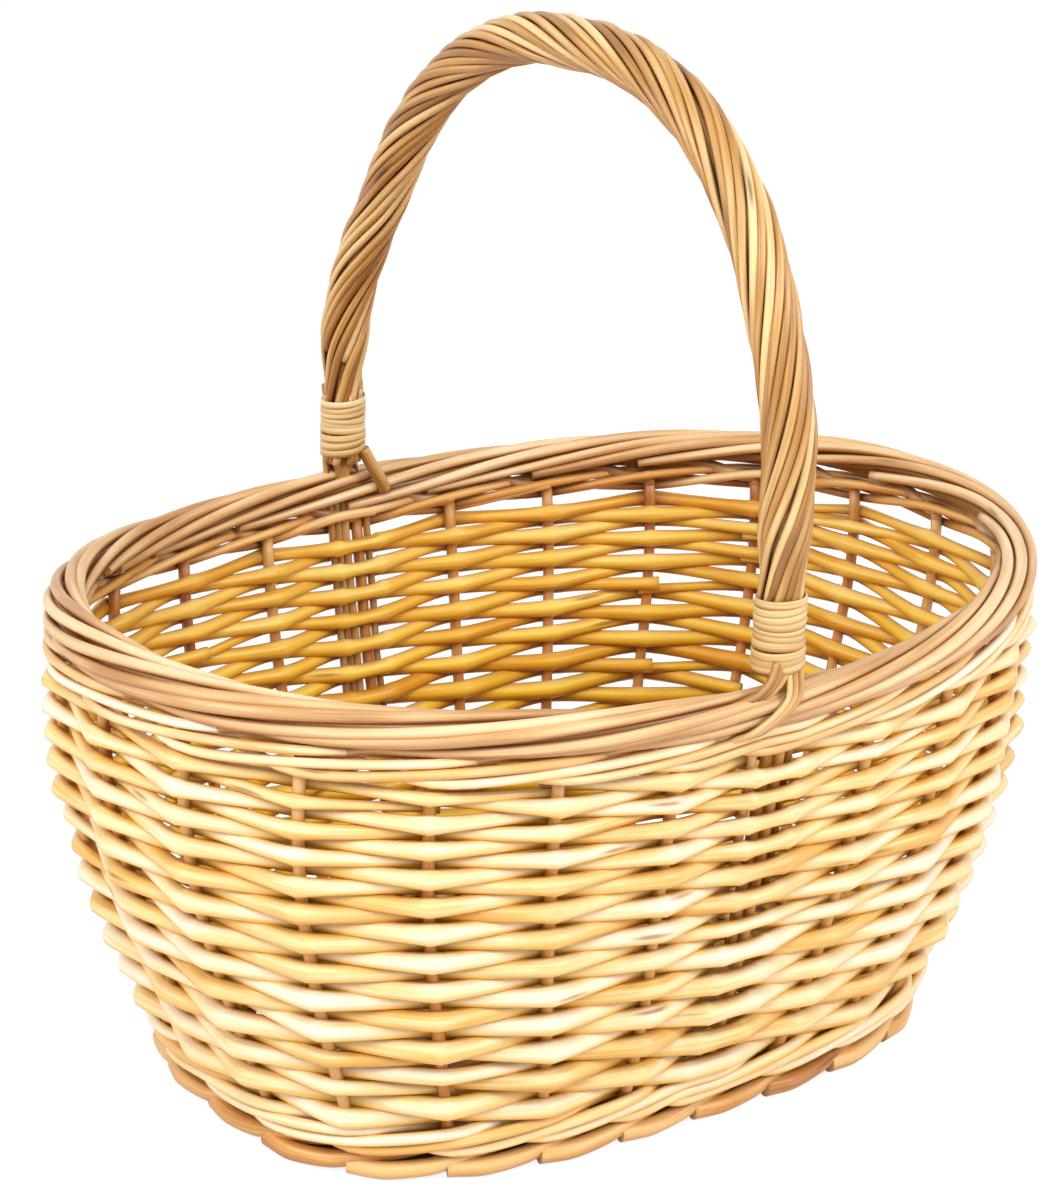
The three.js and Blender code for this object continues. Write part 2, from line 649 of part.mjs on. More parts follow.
// The least gap between turns, measured on points along the centre line
function leastSelfGap(points, diameter) {
  const fine = [];
  for (let i = 0; i < points.length - 1; i++) {
    for (let part = 0; part < GAP_PARTS; part++) {
      fine.push(points[i].clone().lerp(points[i + 1], part / GAP_PARTS));
    }
  }
  const apart = (BINDING_STEPS * GAP_PARTS) / 2;
  let least = Infinity;
  for (let i = 0; i < fine.length; i++) {
    for (let j = i + apart; j < fine.length; j++) least = Math.min(least, fine[i].distanceTo(fine[j]));
  }
  return least - diameter;
}

for (const [foot, side] of [['front', -1], ['back', 1]]) {
  const points = bindingLine(side);
  addPiece(`${foot}_binding`, rod(points, BINDING_DIAMETER / 2, THIN_SIDES), willow.binding);
  const gap = leastSelfGap(points, BINDING_DIAMETER);
  console.log(`least gap between turns of the ${foot} binding: ${gap.toFixed(2)} mm`);
}

// Liners: thin rods pushed down the wall beside the stake and the tail
for (const [foot, station, side] of [['front', 0, 1], ['back', HALF_TURN, -1]]) {
  [firstLinerAlong, secondLinerAlong].forEach((beside, i) => {
    const points = downWall(station, LINER_DEPTH, side * beside);
    addPiece(`${foot}_liner_${i + 1}`, rod(points, linerRadius, THIN_SIDES, acrossHandle), willow.handle);
  });
}

let triangles = 0;
basket.traverse((piece) => {
  if (piece.isMesh) {
    const { geometry } = piece;
    triangles += (geometry.index ? geometry.index.count : geometry.getAttribute('position').count) / 3;
  }
});
console.log(`${basket.children.length} pieces, ${triangles} triangles`);
console.log(`${2 * rowPairs} side rows of ${rowPitch.toFixed(2)} mm`);

export default basket;
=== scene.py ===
"""Oval picnic basket of round willow with a fixed roped handle, in a plain studio.

Lengths are in metres, in the part's own frame: +X along the basket, +Y across it from the handle's front foot
to its back one, +Z up, and the origin on the ground. A station counts stakes from the front foot towards +X,
and a level is 0 on the ground and 1 at the rim.
"""

import logging
import math
import random
from dataclasses import dataclass, field, replace
from enum import Enum
from typing import Any, Sequence

import bmesh
import bpy
import numpy as np
from mathutils import Matrix, Vector, noise

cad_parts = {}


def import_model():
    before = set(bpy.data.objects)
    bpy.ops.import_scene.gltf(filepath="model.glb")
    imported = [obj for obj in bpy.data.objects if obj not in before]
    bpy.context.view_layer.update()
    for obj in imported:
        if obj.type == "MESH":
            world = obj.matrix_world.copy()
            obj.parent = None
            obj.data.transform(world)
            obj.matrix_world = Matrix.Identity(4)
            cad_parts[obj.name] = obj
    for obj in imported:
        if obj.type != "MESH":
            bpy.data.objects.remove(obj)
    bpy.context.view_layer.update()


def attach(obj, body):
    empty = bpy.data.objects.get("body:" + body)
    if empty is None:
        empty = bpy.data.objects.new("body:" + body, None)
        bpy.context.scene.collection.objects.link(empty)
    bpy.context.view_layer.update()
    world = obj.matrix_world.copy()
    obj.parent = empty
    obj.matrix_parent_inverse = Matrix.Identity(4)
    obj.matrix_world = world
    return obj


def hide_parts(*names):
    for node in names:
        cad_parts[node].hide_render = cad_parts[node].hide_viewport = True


log = logging.getLogger("picnic_basket")
Materials = Sequence[bpy.types.Material]
Range = tuple[float, float]
Place = tuple[float, float, float]
Path = tuple[Place, ...]
# What the finishes read at a rod's corners: a vector and four shares; the last three are painted shade below,
# inside the basket and in crevices
ROD_ATTRIBUTES = ("rod_place", "rod_tone", "rod_below", "rod_inside", "rod_stain")
UP = Vector((0.0, 0.0, 1.0))
ACROSS_HANDLE = Vector((1.0, 0.0, 0.0))
# Share of a knot's painted crevice shade that is gone midway to the next knot
SHADE_GONE_MIDWAY = 0.6
# How far painted shade creeps round a ring that lies along the wall
RING_CREEP = 0.6


class Wood(Enum):
    """Names of the record's material slots, one for each kind of finish."""

    SIDE = "side_willow"
    PALE = "pale_willow"
    BORDER = "border_willow"
    HANDLE = "handle_willow"
    BASE = "base_willow"
    SKEIN = "binding_skein"


def mix(low: float, high: float, share: float) -> float:
    """Returns the value at a share of the way from low to high."""
    return low + (high - low) * share


def smooth(value: float, low: float = 0.0, high: float = 1.0) -> float:
    """Returns 0 below low, 1 above high and a smooth step between them."""
    share = min(max((value - low) / (high - low), 0.0), 1.0)
    return share * share * (3.0 - 2.0 * share)


def signed_power(value: float, exponent: float) -> float:
    """Returns a value raised to a power with its sign kept."""
    return math.copysign(abs(value) ** exponent, value)


@dataclass(frozen=True)
class Waver:
    """Smooth unevenness along a rod: how much, how often and from which layer of the noise."""

    amount: float
    rate: float
    layer: float = 0.37

    def at(self, seed: float, place: float) -> float:
        """Returns the unevenness at a place, between about plus and minus its amount."""
        return self.amount * noise.noise(Vector((seed, place * self.rate, self.layer)))


def linear(code: str) -> tuple[float, float, float, float]:
    """Turns an sRGB hex colour into Blender's linear one.

    Args:
        code: Six hex digits, with or without a leading #.

    Returns:
        Red, green, blue and an alpha of 1.
    """
    digits = code.lstrip("#")
    values = [int(digits[i:i + 2], 16) / 255 for i in (0, 2, 4)]
    channels = [v / 12.92 if v <= 0.04045 else ((v + 0.055) / 1.055) ** 2.4 for v in values]
    return (*channels, 1.0)


def add_node(tree: bpy.types.NodeTree, kind: str, inputs: dict[Any, Any] | None = None,
             **settings: Any) -> bpy.types.Node:
    """Adds a node with its settings, values and links.

    Args:
        tree: The node tree that gets it.
        kind: The node's type name.
        inputs: A value, an output socket or a node (its first output) for each input, by name or number.
        **settings: Properties of the node.

    Returns:
        The new node.
    """
    node = tree.nodes.new(kind)
    for name, value in settings.items():
        setattr(node, name, value)
    for key, value in (inputs or {}).items():
        source = value.outputs[0] if isinstance(value, bpy.types.Node) else value
        if isinstance(source, bpy.types.NodeSocket):
            tree.links.new(source, node.inputs[key])
        else:
            node.inputs[key].default_value = source
    return node


def blank_material(name: str) -> tuple[bpy.types.Material, bpy.types.NodeTree]:
    """Makes a material without nodes.

    Args:
        name: Its name.

    Returns:
        The material and its node tree.
    """
    made = bpy.data.materials.new(name)
    made.use_nodes = True
    made.node_tree.nodes.clear()
    return made, made.node_tree


def link_object(name: str, data: bpy.types.ID) -> bpy.types.Object:
    """Makes an object and links it to the scene.

    Args:
        name: Its name.
        data: Its mesh, lamp or camera.

    Returns:
        The object.
    """
    made = bpy.data.objects.new(name, data)
    bpy.context.scene.collection.objects.link(made)
    return made


@dataclass(frozen=True)
class WillowFinish:
    """Willow rod: fine streaks, slow blotches, small knots, and painted shade: a deeper colour below and
    inside the basket, and a brown crevice colour where rods hide or touch.

    A share says how far a layer goes, and a range where in its pattern it sets in and is full.
    """

    name: str
    pale: str
    straw: str
    tan: str
    # Painted shade below the rods
    under_shade: str
    # Painted shade inside the basket, deeper low down
    inner_shade: str
    # Painted shade in crevices and where rods touch; also the colour of the knots
    shade_and_knot: str
    tint: str = "#F0DC58"
    ramp_places: tuple[float, ...] = (0.52, 0.74, 1.0)
    tone_share: float = 0.2
    streak_share: float = 0.55
    # Shares and ranges of the painted shade below, inside the basket and in crevices
    under_shade_share: float = 0.75
    inner_shade_share: float = 0.7
    painted_shade_share: float = 0.9
    painted_shade_range: Range = (0.22, 0.92)
    crevice_shade_share: float = 0.45
    crevice_shade_range: Range = (0.0, 0.5)
    tint_share: float = 0.0
    tint_range: Range = (0.56, 0.70)
    knot_share: float = 0.7
    knot_range: Range = (0.05, 0.13)
    knot_bump: float = -0.6
    bump_strength: float = 0.35
    bump_depth: float = 0.0006
    roughness: float = 0.45
    roughness_spread: Range = (-0.08, 0.10)
    roughness_range: Range = (0.3, 0.7)
    refraction: float = 1.5
    coat: float = 0.25
    coat_roughness: float = 0.22
    streak_length: float = 0.045
    streak_width: float = 0.0012
    blotch_length: float = 0.070
    blotch_width: float = 0.009
    knot_spacing: float = 0.075
    knot_width: float = 0.010

    def material(self) -> bpy.types.Material:
        """Builds the material from the rods' own attributes.

        Returns:
            The finished material.
        """
        made, tree = blank_material(self.name)
        place, tone, below, inside, painted_shade = (
            add_node(tree, "ShaderNodeAttribute", attribute_name=name) for name in ROD_ATTRIBUTES)
        streaks, blotches, patches, knots = (
            add_node(tree, "ShaderNodeMapping", {
                0: place.outputs["Vector"], "Scale": (1.0 / length, 1.0 / width, 1.0 / width)})
            for length, width in (
                (self.streak_length, self.streak_width), (self.blotch_length, self.blotch_width),
                (self.streak_length, self.blotch_width / 2), (self.knot_spacing, self.knot_width)))
        streak = add_node(tree, "ShaderNodeTexNoise", {"Vector": streaks, "Scale": 1.0, "Detail": 4.0,
                                                       "Roughness": 0.6})
        blotch = add_node(tree, "ShaderNodeTexNoise", {"Vector": blotches, "Scale": 1.0, "Detail": 2.0})
        patch = add_node(tree, "ShaderNodeTexNoise", {"Vector": patches, "Scale": 1.0, "Detail": 1.0})
        knot = add_node(tree, "ShaderNodeTexVoronoi", {"Vector": knots, "Scale": 1.0})
        rough_ends = [self.roughness + spread for spread in self.roughness_spread]
        patch_share, knot_share, crevice_shade, rough = (
            add_node(tree, "ShaderNodeMapRange", {0: pattern, 1: span[0], 2: span[1], 3: low, 4: high})
            for pattern, span, low, high in (
                (patch, self.tint_range, 0.0, self.tint_share), (knot, self.knot_range, self.knot_share, 0.0),
                (painted_shade.outputs["Fac"], self.crevice_shade_range, 0.0, self.crevice_shade_share),
                (streak, self.roughness_range, *rough_ends)))
        # Painted crevice shade, read from the rods' shade attribute
        crevice_share = add_node(tree, "ShaderNodeMapRange", {
            0: painted_shade.outputs["Fac"], 1: self.painted_shade_range[0], 2: self.painted_shade_range[1], 4: self.painted_shade_share},
            interpolation_type="SMOOTHSTEP")
        toned, below_share, warm_share, relief = (
            add_node(tree, "ShaderNodeMath", dict(enumerate(terms)), operation="MULTIPLY_ADD") for terms in (
                (tone.outputs["Fac"], self.tone_share, blotch),
                (below.outputs["Fac"], self.under_shade_share, crevice_shade),
                (inside.outputs["Fac"], self.inner_shade_share, 0.0),
                (knot_share, self.knot_bump, streak)))
        shade = add_node(tree, "ShaderNodeMath", {0: streak, 1: self.streak_share, 2: toned},
                         operation="MULTIPLY_ADD")
        ramp = add_node(tree, "ShaderNodeValToRGB", {0: shade})
        stops = ramp.color_ramp.elements
        stops.new(self.ramp_places[1])
        for stop, position, code in zip(stops, self.ramp_places, (self.tan, self.straw, self.pale)):
            stop.position = position
            stop.color = linear(code)
        colour = ramp.outputs[0]
        # The tint and the knots are the wood's own colour; the multiplies below and inside the basket and the
        # last mix are painted shade
        for share, code, mode in (
                (patch_share, self.tint, "MULTIPLY"), (below_share, self.under_shade, "MULTIPLY"),
                (warm_share, self.inner_shade, "MULTIPLY"), (knot_share, self.shade_and_knot, "MIX"),
                (crevice_share, self.shade_and_knot, "MIX")):
            colour = add_node(tree, "ShaderNodeMix", {0: share, 6: colour, 7: linear(code)}, data_type="RGBA",
                              blend_type=mode).outputs[2]
        bump = add_node(tree, "ShaderNodeBump", {
            "Height": relief, "Strength": self.bump_strength, "Distance": self.bump_depth})
        shader = add_node(tree, "ShaderNodeBsdfPrincipled", {
            "Base Color": colour, "Roughness": rough, "Normal": bump, "IOR": self.refraction, "Metallic": 0.0,
            "Coat Weight": self.coat, "Coat Roughness": self.coat_roughness})
        add_node(tree, "ShaderNodeOutputMaterial", {0: shader})
        return made


@dataclass(frozen=True)
class CutWillow:
    """The clipped end of a rod: pale wood with brown pith and fibres."""

    name: str = "Cut Willow"
    wood: str = "#E6C48C"
    pith: str = "#8A5A2C"
    fibre_width: float = 0.0011
    roughness: float = 0.75

    def material(self) -> bpy.types.Material:
        """Builds the material.

        Returns:
            The finished material.
        """
        made, tree = blank_material(self.name)
        spread = add_node(tree, "ShaderNodeTexCoord")
        grain = add_node(tree, "ShaderNodeTexNoise", {
            "Vector": spread.outputs["Object"], "Scale": 1.0 / self.fibre_width})
        colour = add_node(tree, "ShaderNodeMix", {0: grain, 6: linear(self.pith), 7: linear(self.wood)},
                          data_type="RGBA").outputs[2]
        shader = add_node(tree, "ShaderNodeBsdfPrincipled", {
            "Base Color": colour, "Roughness": self.roughness})
        add_node(tree, "ShaderNodeOutputMaterial", {0: shader})
        return made


# Peeled, sun-bleached rods: cream, with golden painted shade below, lightly varnished
PEELED = WillowFinish("Peeled Willow", pale="#FFEEDA", straw="#F8DDA4", tan="#E8B864", under_shade="#F2D064",
                      inner_shade="#FAE246", shade_and_knot="#905C1C", painted_shade_share=0.7, inner_shade_share=0.82, tint_share=0.5)
# The thinner, paler rods of the top wale
PALE = WillowFinish("Pale Peeled Willow", pale="#FFF2E0", straw="#F8DEB0", tan="#E6BA76", under_shade="#ECC880",
                    inner_shade="#F4C85C", shade_and_knot="#7C4818", inner_shade_share=0.65, tint_share=0.35)
# Buff rods, boiled with their bark on before peeling, which leaves them pinkish tan
BUFF = WillowFinish("Buff Willow", pale="#F4D4A6", straw="#DCB078", tan="#BA8650", under_shade="#D4A266",
                    inner_shade="#E0AC5C", shade_and_knot="#7E4E20", inner_shade_share=0.4, painted_shade_share=0.72, tone_share=0.13)
# Golden buff rods of the foot, which show more of the amber underneath
GOLDEN = WillowFinish("Golden Buff Willow", pale="#EAC07C", straw="#D4984C", tan="#AE6E2E", under_shade="#D09246",
                      inner_shade="#DCA050", shade_and_knot="#7A4414", inner_shade_share=0.3, under_shade_share=0.5)
# Thin varnished buff rods of the handle, with dark painted shade in their grooves
VARNISHED = WillowFinish("Varnished Buff Willow", pale="#EFCE92", straw="#C89550", tan="#9E6A30",
                         under_shade="#C89048", inner_shade="#D09A50", shade_and_knot="#3A1C06", under_shade_share=0.45,
                         inner_shade_share=0.0, painted_shade_share=0.96, roughness=0.4, coat=0.3, tone_share=0.2)
# Rods of the base, browned by handling
AGED = WillowFinish("Aged Willow", pale="#E8C07A", straw="#CC984C", tan="#9C6A2E", under_shade="#B87E3C",
                    inner_shade="#C08838", shade_and_knot="#4A260C", roughness=0.55, coat=0.1)
# Rods split lengthwise and shaved flat for winding
SKEIN = WillowFinish("Split Willow Skein", pale="#FBEAC6", straw="#E4C890", tan="#CCA264", under_shade="#D8B070",
                     inner_shade="#D09A50", shade_and_knot="#6A4014", inner_shade_share=0.0, streak_width=0.0008, coat=0.35)


@dataclass(frozen=True)
class WallForm:
    """The wall's shape, on the line through the stakes."""

    half_lengths: tuple[float, ...] = (0.151, 0.180, 0.203, 0.206)
    half_widths: tuple[float, ...] = (0.100, 0.125, 0.140, 0.151)
    base_squareness: float = 3.1
    rim_squareness: float = 2.15
    rim_height: float = 0.195
    end_lift: float = 0.010
    stakes: int = 24
    samples: int = 960
    reach: float = 0.004
    levels: int = 400
    foot_group: Range = (-0.0135, 0.0070)
    outlines: dict[int, tuple[np.ndarray, np.ndarray, np.ndarray]] = field(default_factory=dict)

    @staticmethod
    def through_four(values: Sequence[float], at: float) -> float:
        """Draws the smooth curve through four values.

        Args:
            values: The values at 0, 1/3, 2/3 and 1.
            at: Where the curve is read.

        Returns:
            The curve's value there.
        """
        knots = (0.0, 1 / 3, 2 / 3, 1.0)
        weights = [math.prod((at - knot) / (own - knot) for knot in knots if knot != own) for own in knots]
        return sum(value * weight for value, weight in zip(values, weights))

    def outline(self, level: float) -> tuple[np.ndarray, np.ndarray, np.ndarray]:
        """Works out the outline at a level, once for each of the levels that it is rounded to.

        Args:
            level: 0 on the ground and 1 at the rim.

        Returns:
            Lengths along the outline, and X and Y at each.
        """
        key = round(level * self.levels)
        if key not in self.outlines:
            at = key / self.levels
            a, b = self.through_four(self.half_lengths, at), self.through_four(self.half_widths, at)
            power = 2 / mix(self.base_squareness, self.rim_squareness, at)
            angles = np.linspace(-math.pi / 2, 1.5 * math.pi, self.samples + 1)
            x = a * np.sign(np.cos(angles)) * np.abs(np.cos(angles)) ** power
            y = b * np.sign(np.sin(angles)) * np.abs(np.sin(angles)) ** power
            lengths = np.concatenate(([0.0], np.cumsum(np.hypot(np.diff(x), np.diff(y)))))
            self.outlines[key] = (lengths, x, y)
        return self.outlines[key]

    def flat(self, distance: float, level: float) -> Vector:
        """Finds a point of the outline, at no height.

        Args:
            distance: How far round it is.
            level: Which outline.

        Returns:
            The point.
        """
        lengths, x, y = self.outline(level)
        wanted = distance % lengths[-1]
        return Vector((float(np.interp(wanted, lengths, x)), float(np.interp(wanted, lengths, y)), 0.0))

    def spacing(self, level: float) -> float:
        """Returns the distance between stakes at a level."""
        return float(self.outline(level)[0][-1]) / self.stakes

    def outward(self, station: float, level: float) -> Vector:
        """Finds the level direction that leads out of the wall.

        Args:
            station: Stakes from the front foot.
            level: 0 on the ground and 1 at the rim.

        Returns:
            The direction.
        """
        distance = station * self.spacing(level)
        ahead = self.flat(distance + self.reach, level) - self.flat(distance - self.reach, level)
        return Vector((ahead.y, -ahead.x, 0.0)).normalized()

    def point(self, station: float, height: float, outward: float = 0.0, along: float = 0.0) -> Vector:
        """Places a point beside the wall.

        Args:
            station: Stakes from the front foot.
            height: Height over the ground at the middle of the long sides.
            outward: Distance out of the wall.
            along: Distance on round the wall.

        Returns:
            The point.
        """
        level = height / self.rim_height
        distance = station * self.spacing(level) + along
        flat = self.flat(distance, level)
        lift = level * level * self.end_lift * (flat.x / self.half_lengths[-1]) ** 2
        place = flat + self.outward(distance / self.spacing(level), level) * outward
        place.z = height + lift
        return place

    def stops(self, station: int) -> tuple[float, ...]:
        """Says where a weaver turns past a stake, or past the whole group of rods at a foot of the handle.

        Args:
            station: The stake.

        Returns:
            Distances along the wall from the stake.
        """
        start, end = self.foot_group
        if station % (self.stakes // 2):
            return (0.0,)
        return (-end, -start) if station % self.stakes else (start, end)


WALL = WallForm()


@dataclass(frozen=True)
class RodPoint:
    """A point of a rod.

    It holds its place, half the rod's thickness, the way out of the basket (zero where there is no inside)
    and the way that lies open to light. Painted crevice shade, 0 to 1, lies on the side away from that way,
    and painted shade where rods touch above and below the rod.
    """

    place: Vector
    radius: float
    outward: Vector
    opening: Vector
    crevice_shade: float = 0.0
    contact_shade: float = 0.0


@dataclass
class Rod:
    """One willow rod: its points, where its frames start from, how far round its painted shade creeps, and
    its section.
    """

    points: list[RodPoint] = field(default_factory=list)
    reference: Vector = field(default_factory=lambda: UP.copy())
    creep: float = 0.15
    flatness: float = 1.0
    upright: bool = False

    def add(self, *values: Any) -> None:
        """Adds a point with the values of a RodPoint."""
        self.points.append(RodPoint(*values))

    def frames(self) -> list[Matrix]:
        """Works out a frame for each point, turned as little as the bends allow.

        Returns:
            Matrices that place a unit circle round the rod.
        """
        made = []
        side = self.reference.copy()
        last = len(self.points) - 1
        for i, point in enumerate(self.points):
            ahead = (self.points[min(i + 1, last)].place - self.points[max(i - 1, 0)].place).normalized()
            side = UP if self.upright else side
            side = (side - ahead * side.dot(ahead)).normalized()
            other = ahead.cross(side)
            columns = (side * point.radius, other * point.radius * self.flatness, ahead, point.place)
            made.append(Matrix([[column[row] for column in columns] for row in range(3)] + [[0, 0, 0, 1]]))
        return made


class RodWork:
    """Sweeps rods with bmesh operators and gathers them in one piece.

    A side is a span of facings, 1 towards the side that is named, over which a layer sets in and is full.
    """

    noise_span = 9.0
    # Spans and shares of the painted shade below, inside the basket (deeper low down), on the hidden side and
    # where rods touch
    under_side = (-0.35, 0.75)
    inward_side = (-0.3, 0.6)
    inward_shares = (1.5, 0.9)
    hidden_full = 0.8
    pressed_side = (0.3, 1.0)
    low_levels = (0.25, 0.85)
    low_shares = (0.72, 0.0)
    low_side = (-0.9, 0.9)

    def __init__(self, name: str, sides: int = 10) -> None:
        """Starts an empty piece.

        Args:
            name: The piece's name, which also seeds its chance.
            sides: Corners of a rod's section.
        """
        self.name = name
        self.sides = sides
        self.chance = random.Random(name)
        self.whole = bmesh.new()
        self.add_layers(self.whole)

    @staticmethod
    def add_layers(mesh: bmesh.types.BMesh) -> list[Any]:
        """Adds the attributes that the finishes read.

        Args:
            mesh: The mesh that gets them.

        Returns:
            Their layers.
        """
        place, *shares = ROD_ATTRIBUTES
        layers = mesh.verts.layers
        return [layers.float_vector.new(place)] + [layers.float.new(name) for name in shares]

    def mark(self, vert: bmesh.types.BMVert, point: RodPoint, creep: float, layers: Sequence[Any]) -> None:
        """Sets how much painted shade a corner gets: below, inside the basket (deeper low down), in crevices
        and where rods touch.

        Args:
            vert: The corner.
            point: The rod's point that it lies round.
            creep: How far round the rod the painted crevice shade creeps.
            layers: The three layers.
        """
        below, inside, painted_shade = layers
        facing = (vert.co - point.place).normalized()
        vert[below] = smooth(-facing.z, *self.under_side)
        # Painted crevice shade on the side away from the opening, and painted shade where rods touch above
        # and below
        hidden = smooth(-facing.dot(point.opening), -creep, self.hidden_full - creep / 2)
        shaded = point.crevice_shade * hidden + point.contact_shade * smooth(abs(facing.z), *self.pressed_side)
        if point.outward.length_squared:
            level = point.place.z / WALL.rim_height
            inward = smooth(-facing.dot(point.outward), *self.inward_side)
            vert[inside] = mix(*self.inward_shares, level) * inward
            # Painted shade inside the basket, darker towards the bottom
            low = mix(*self.low_shares, smooth(level, *self.low_levels))
            shaded += vert[inside] * low * smooth(-facing.z, *self.low_side)
        vert[painted_shade] = min(shaded, 1.0)

    def sweep(self, rod: Rod) -> None:
        """Extrudes a circle along a rod and adds it to the piece.

        Args:
            rod: The rod to make.
        """
        part = bmesh.new()
        place, tone, *shares = self.add_layers(part)
        shade = self.chance.uniform(-1.0, 1.0)
        shift = Vector([self.chance.uniform(0, self.noise_span) for _ in range(3)])
        verts = bmesh.ops.create_circle(part, cap_ends=True, segments=self.sides, radius=1.0)["verts"]
        edges = list(part.edges)
        caps = list(part.faces)
        travelled = 0.0
        before = Matrix.Identity(4)
        for i, frame in enumerate(rod.frames()):
            if i:
                geometry = bmesh.ops.extrude_edge_only(part, edges=edges)["geom"]
                verts = [item for item in geometry if isinstance(item, bmesh.types.BMVert)]
                new = set(verts)
                edges = [item for item in geometry if isinstance(item, bmesh.types.BMEdge)
                         and item.verts[0] in new and item.verts[1] in new]
                travelled += (rod.points[i].place - rod.points[i - 1].place).length
            bmesh.ops.transform(part, matrix=frame @ before.inverted(), verts=verts)
            before = frame
            back = frame.inverted()
            for vert in verts:
                local = back @ vert.co * rod.points[i].radius
                vert[place] = shift + Vector((travelled, local.x, local.y))
                vert[tone] = shade
                self.mark(vert, rod.points[i], rod.creep, shares)
        caps.append(bmesh.ops.contextual_create(part, geom=edges)["faces"][0])
        bmesh.ops.recalc_face_normals(part, faces=part.faces)
        for face in part.faces:
            face.smooth = True
        for face in caps:
            face.smooth = False
            face.material_index = 1
        mesh = bpy.data.meshes.new("rod")
        part.to_mesh(mesh)
        part.free()
        self.whole.from_mesh(mesh)
        bpy.data.meshes.remove(mesh)

    def finish(self, materials: Materials, wood: Wood, nodes: Sequence[str]) -> None:
        """Makes the piece an object that stands for its nodes.

        Args:
            materials: The rods' material and that of their cut ends.
            wood: The record's slot; not used.
            nodes: CAD nodes that it replaces.
        """
        mesh = bpy.data.meshes.new(self.name)
        self.whole.to_mesh(mesh)
        self.whole.free()
        for material in materials:
            mesh.materials.append(material)
        piece = link_object(self.name, mesh)
        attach(piece, "root")
        if nodes:
            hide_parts(*nodes)
        triangles = sum(len(face.vertices) - 2 for face in mesh.polygons)
        log.info("%s: %d triangles for %d nodes", self.name, triangles, len(nodes))


@dataclass
class Knot:
    """A place that a rod is led through: where, how thick, and which side of the wall."""

    place: Vector
    radius: float
    outward: Vector
    side: float


@dataclass(frozen=True)
class Lay:
    """How a rod is led: steps between knots, slack, painted crevice shade at a knot, and painted shade where
    rods touch, all along and midway.

    A slack of 1 is a full round bend. Painted shade goes from 0 to 1.
    """

    steps: int
    slack: float
    crevice_shade: float
    contact_shade: float
    contact_shade_midway: float = 0.0

    def lead(self, knots: Sequence[Knot], squeeze: float = 0.0) -> Rod:
        """Leads a rod through knots, tight round each and nearly straight between.

        Args:
            knots: The knots in order.
            squeeze: How much thinner the rod is pressed midway between knots.

        Returns:
            The rod.
        """
        rod = Rod()
        last = len(knots) - 1
        heads = [(knots[min(i + 1, last)].place - knots[max(i - 1, 0)].place).normalized()
                 for i in range(last + 1)]
        for i in range(last):
            a, b = knots[i], knots[i + 1]
            reach = (b.place - a.place).length * self.slack
            for step in range(self.steps + (i == last - 1)):
                t = step / self.steps
                square, cube = t * t, t * t * t
                place = (a.place * (2 * cube - 3 * square + 1) + heads[i] * reach * (cube - 2 * square + t)
                         + b.place * (3 * square - 2 * cube) + heads[i + 1] * reach * (cube - square))
                outward = a.outward.lerp(b.outward, t)
                middle = 4.0 * t * (1.0 - t)
                rod.add(place, mix(a.radius, b.radius, t) * (1.0 - squeeze * middle), outward,
                        outward * mix(a.side, b.side, t), self.crevice_shade * (1.0 - SHADE_GONE_MIDWAY * middle),
                        self.contact_shade + self.contact_shade_midway * middle)
        return rod


def wall_ring(height: float, outward: float, radius: float, opening: Vector, crevice_shade: float, steps: int) -> Rod:
    """Lays a rod level all round the wall.

    Args:
        height: Height over the ground.
        outward: Distance out of the wall.
        radius: Half the rod's thickness.
        opening: The way that lies open to light.
        crevice_shade: Painted crevice shade on the side away from the opening.
        steps: Points in the ring.

    Returns:
        The ring, which runs on past its start.
    """
    ring = Rod(creep=RING_CREEP)
    for step in range(steps + 2):
        place = WALL.point(WALL.stakes * step / steps, height, outward)
        ring.add(place, radius, Vector(), opening, crevice_shade)
    return ring


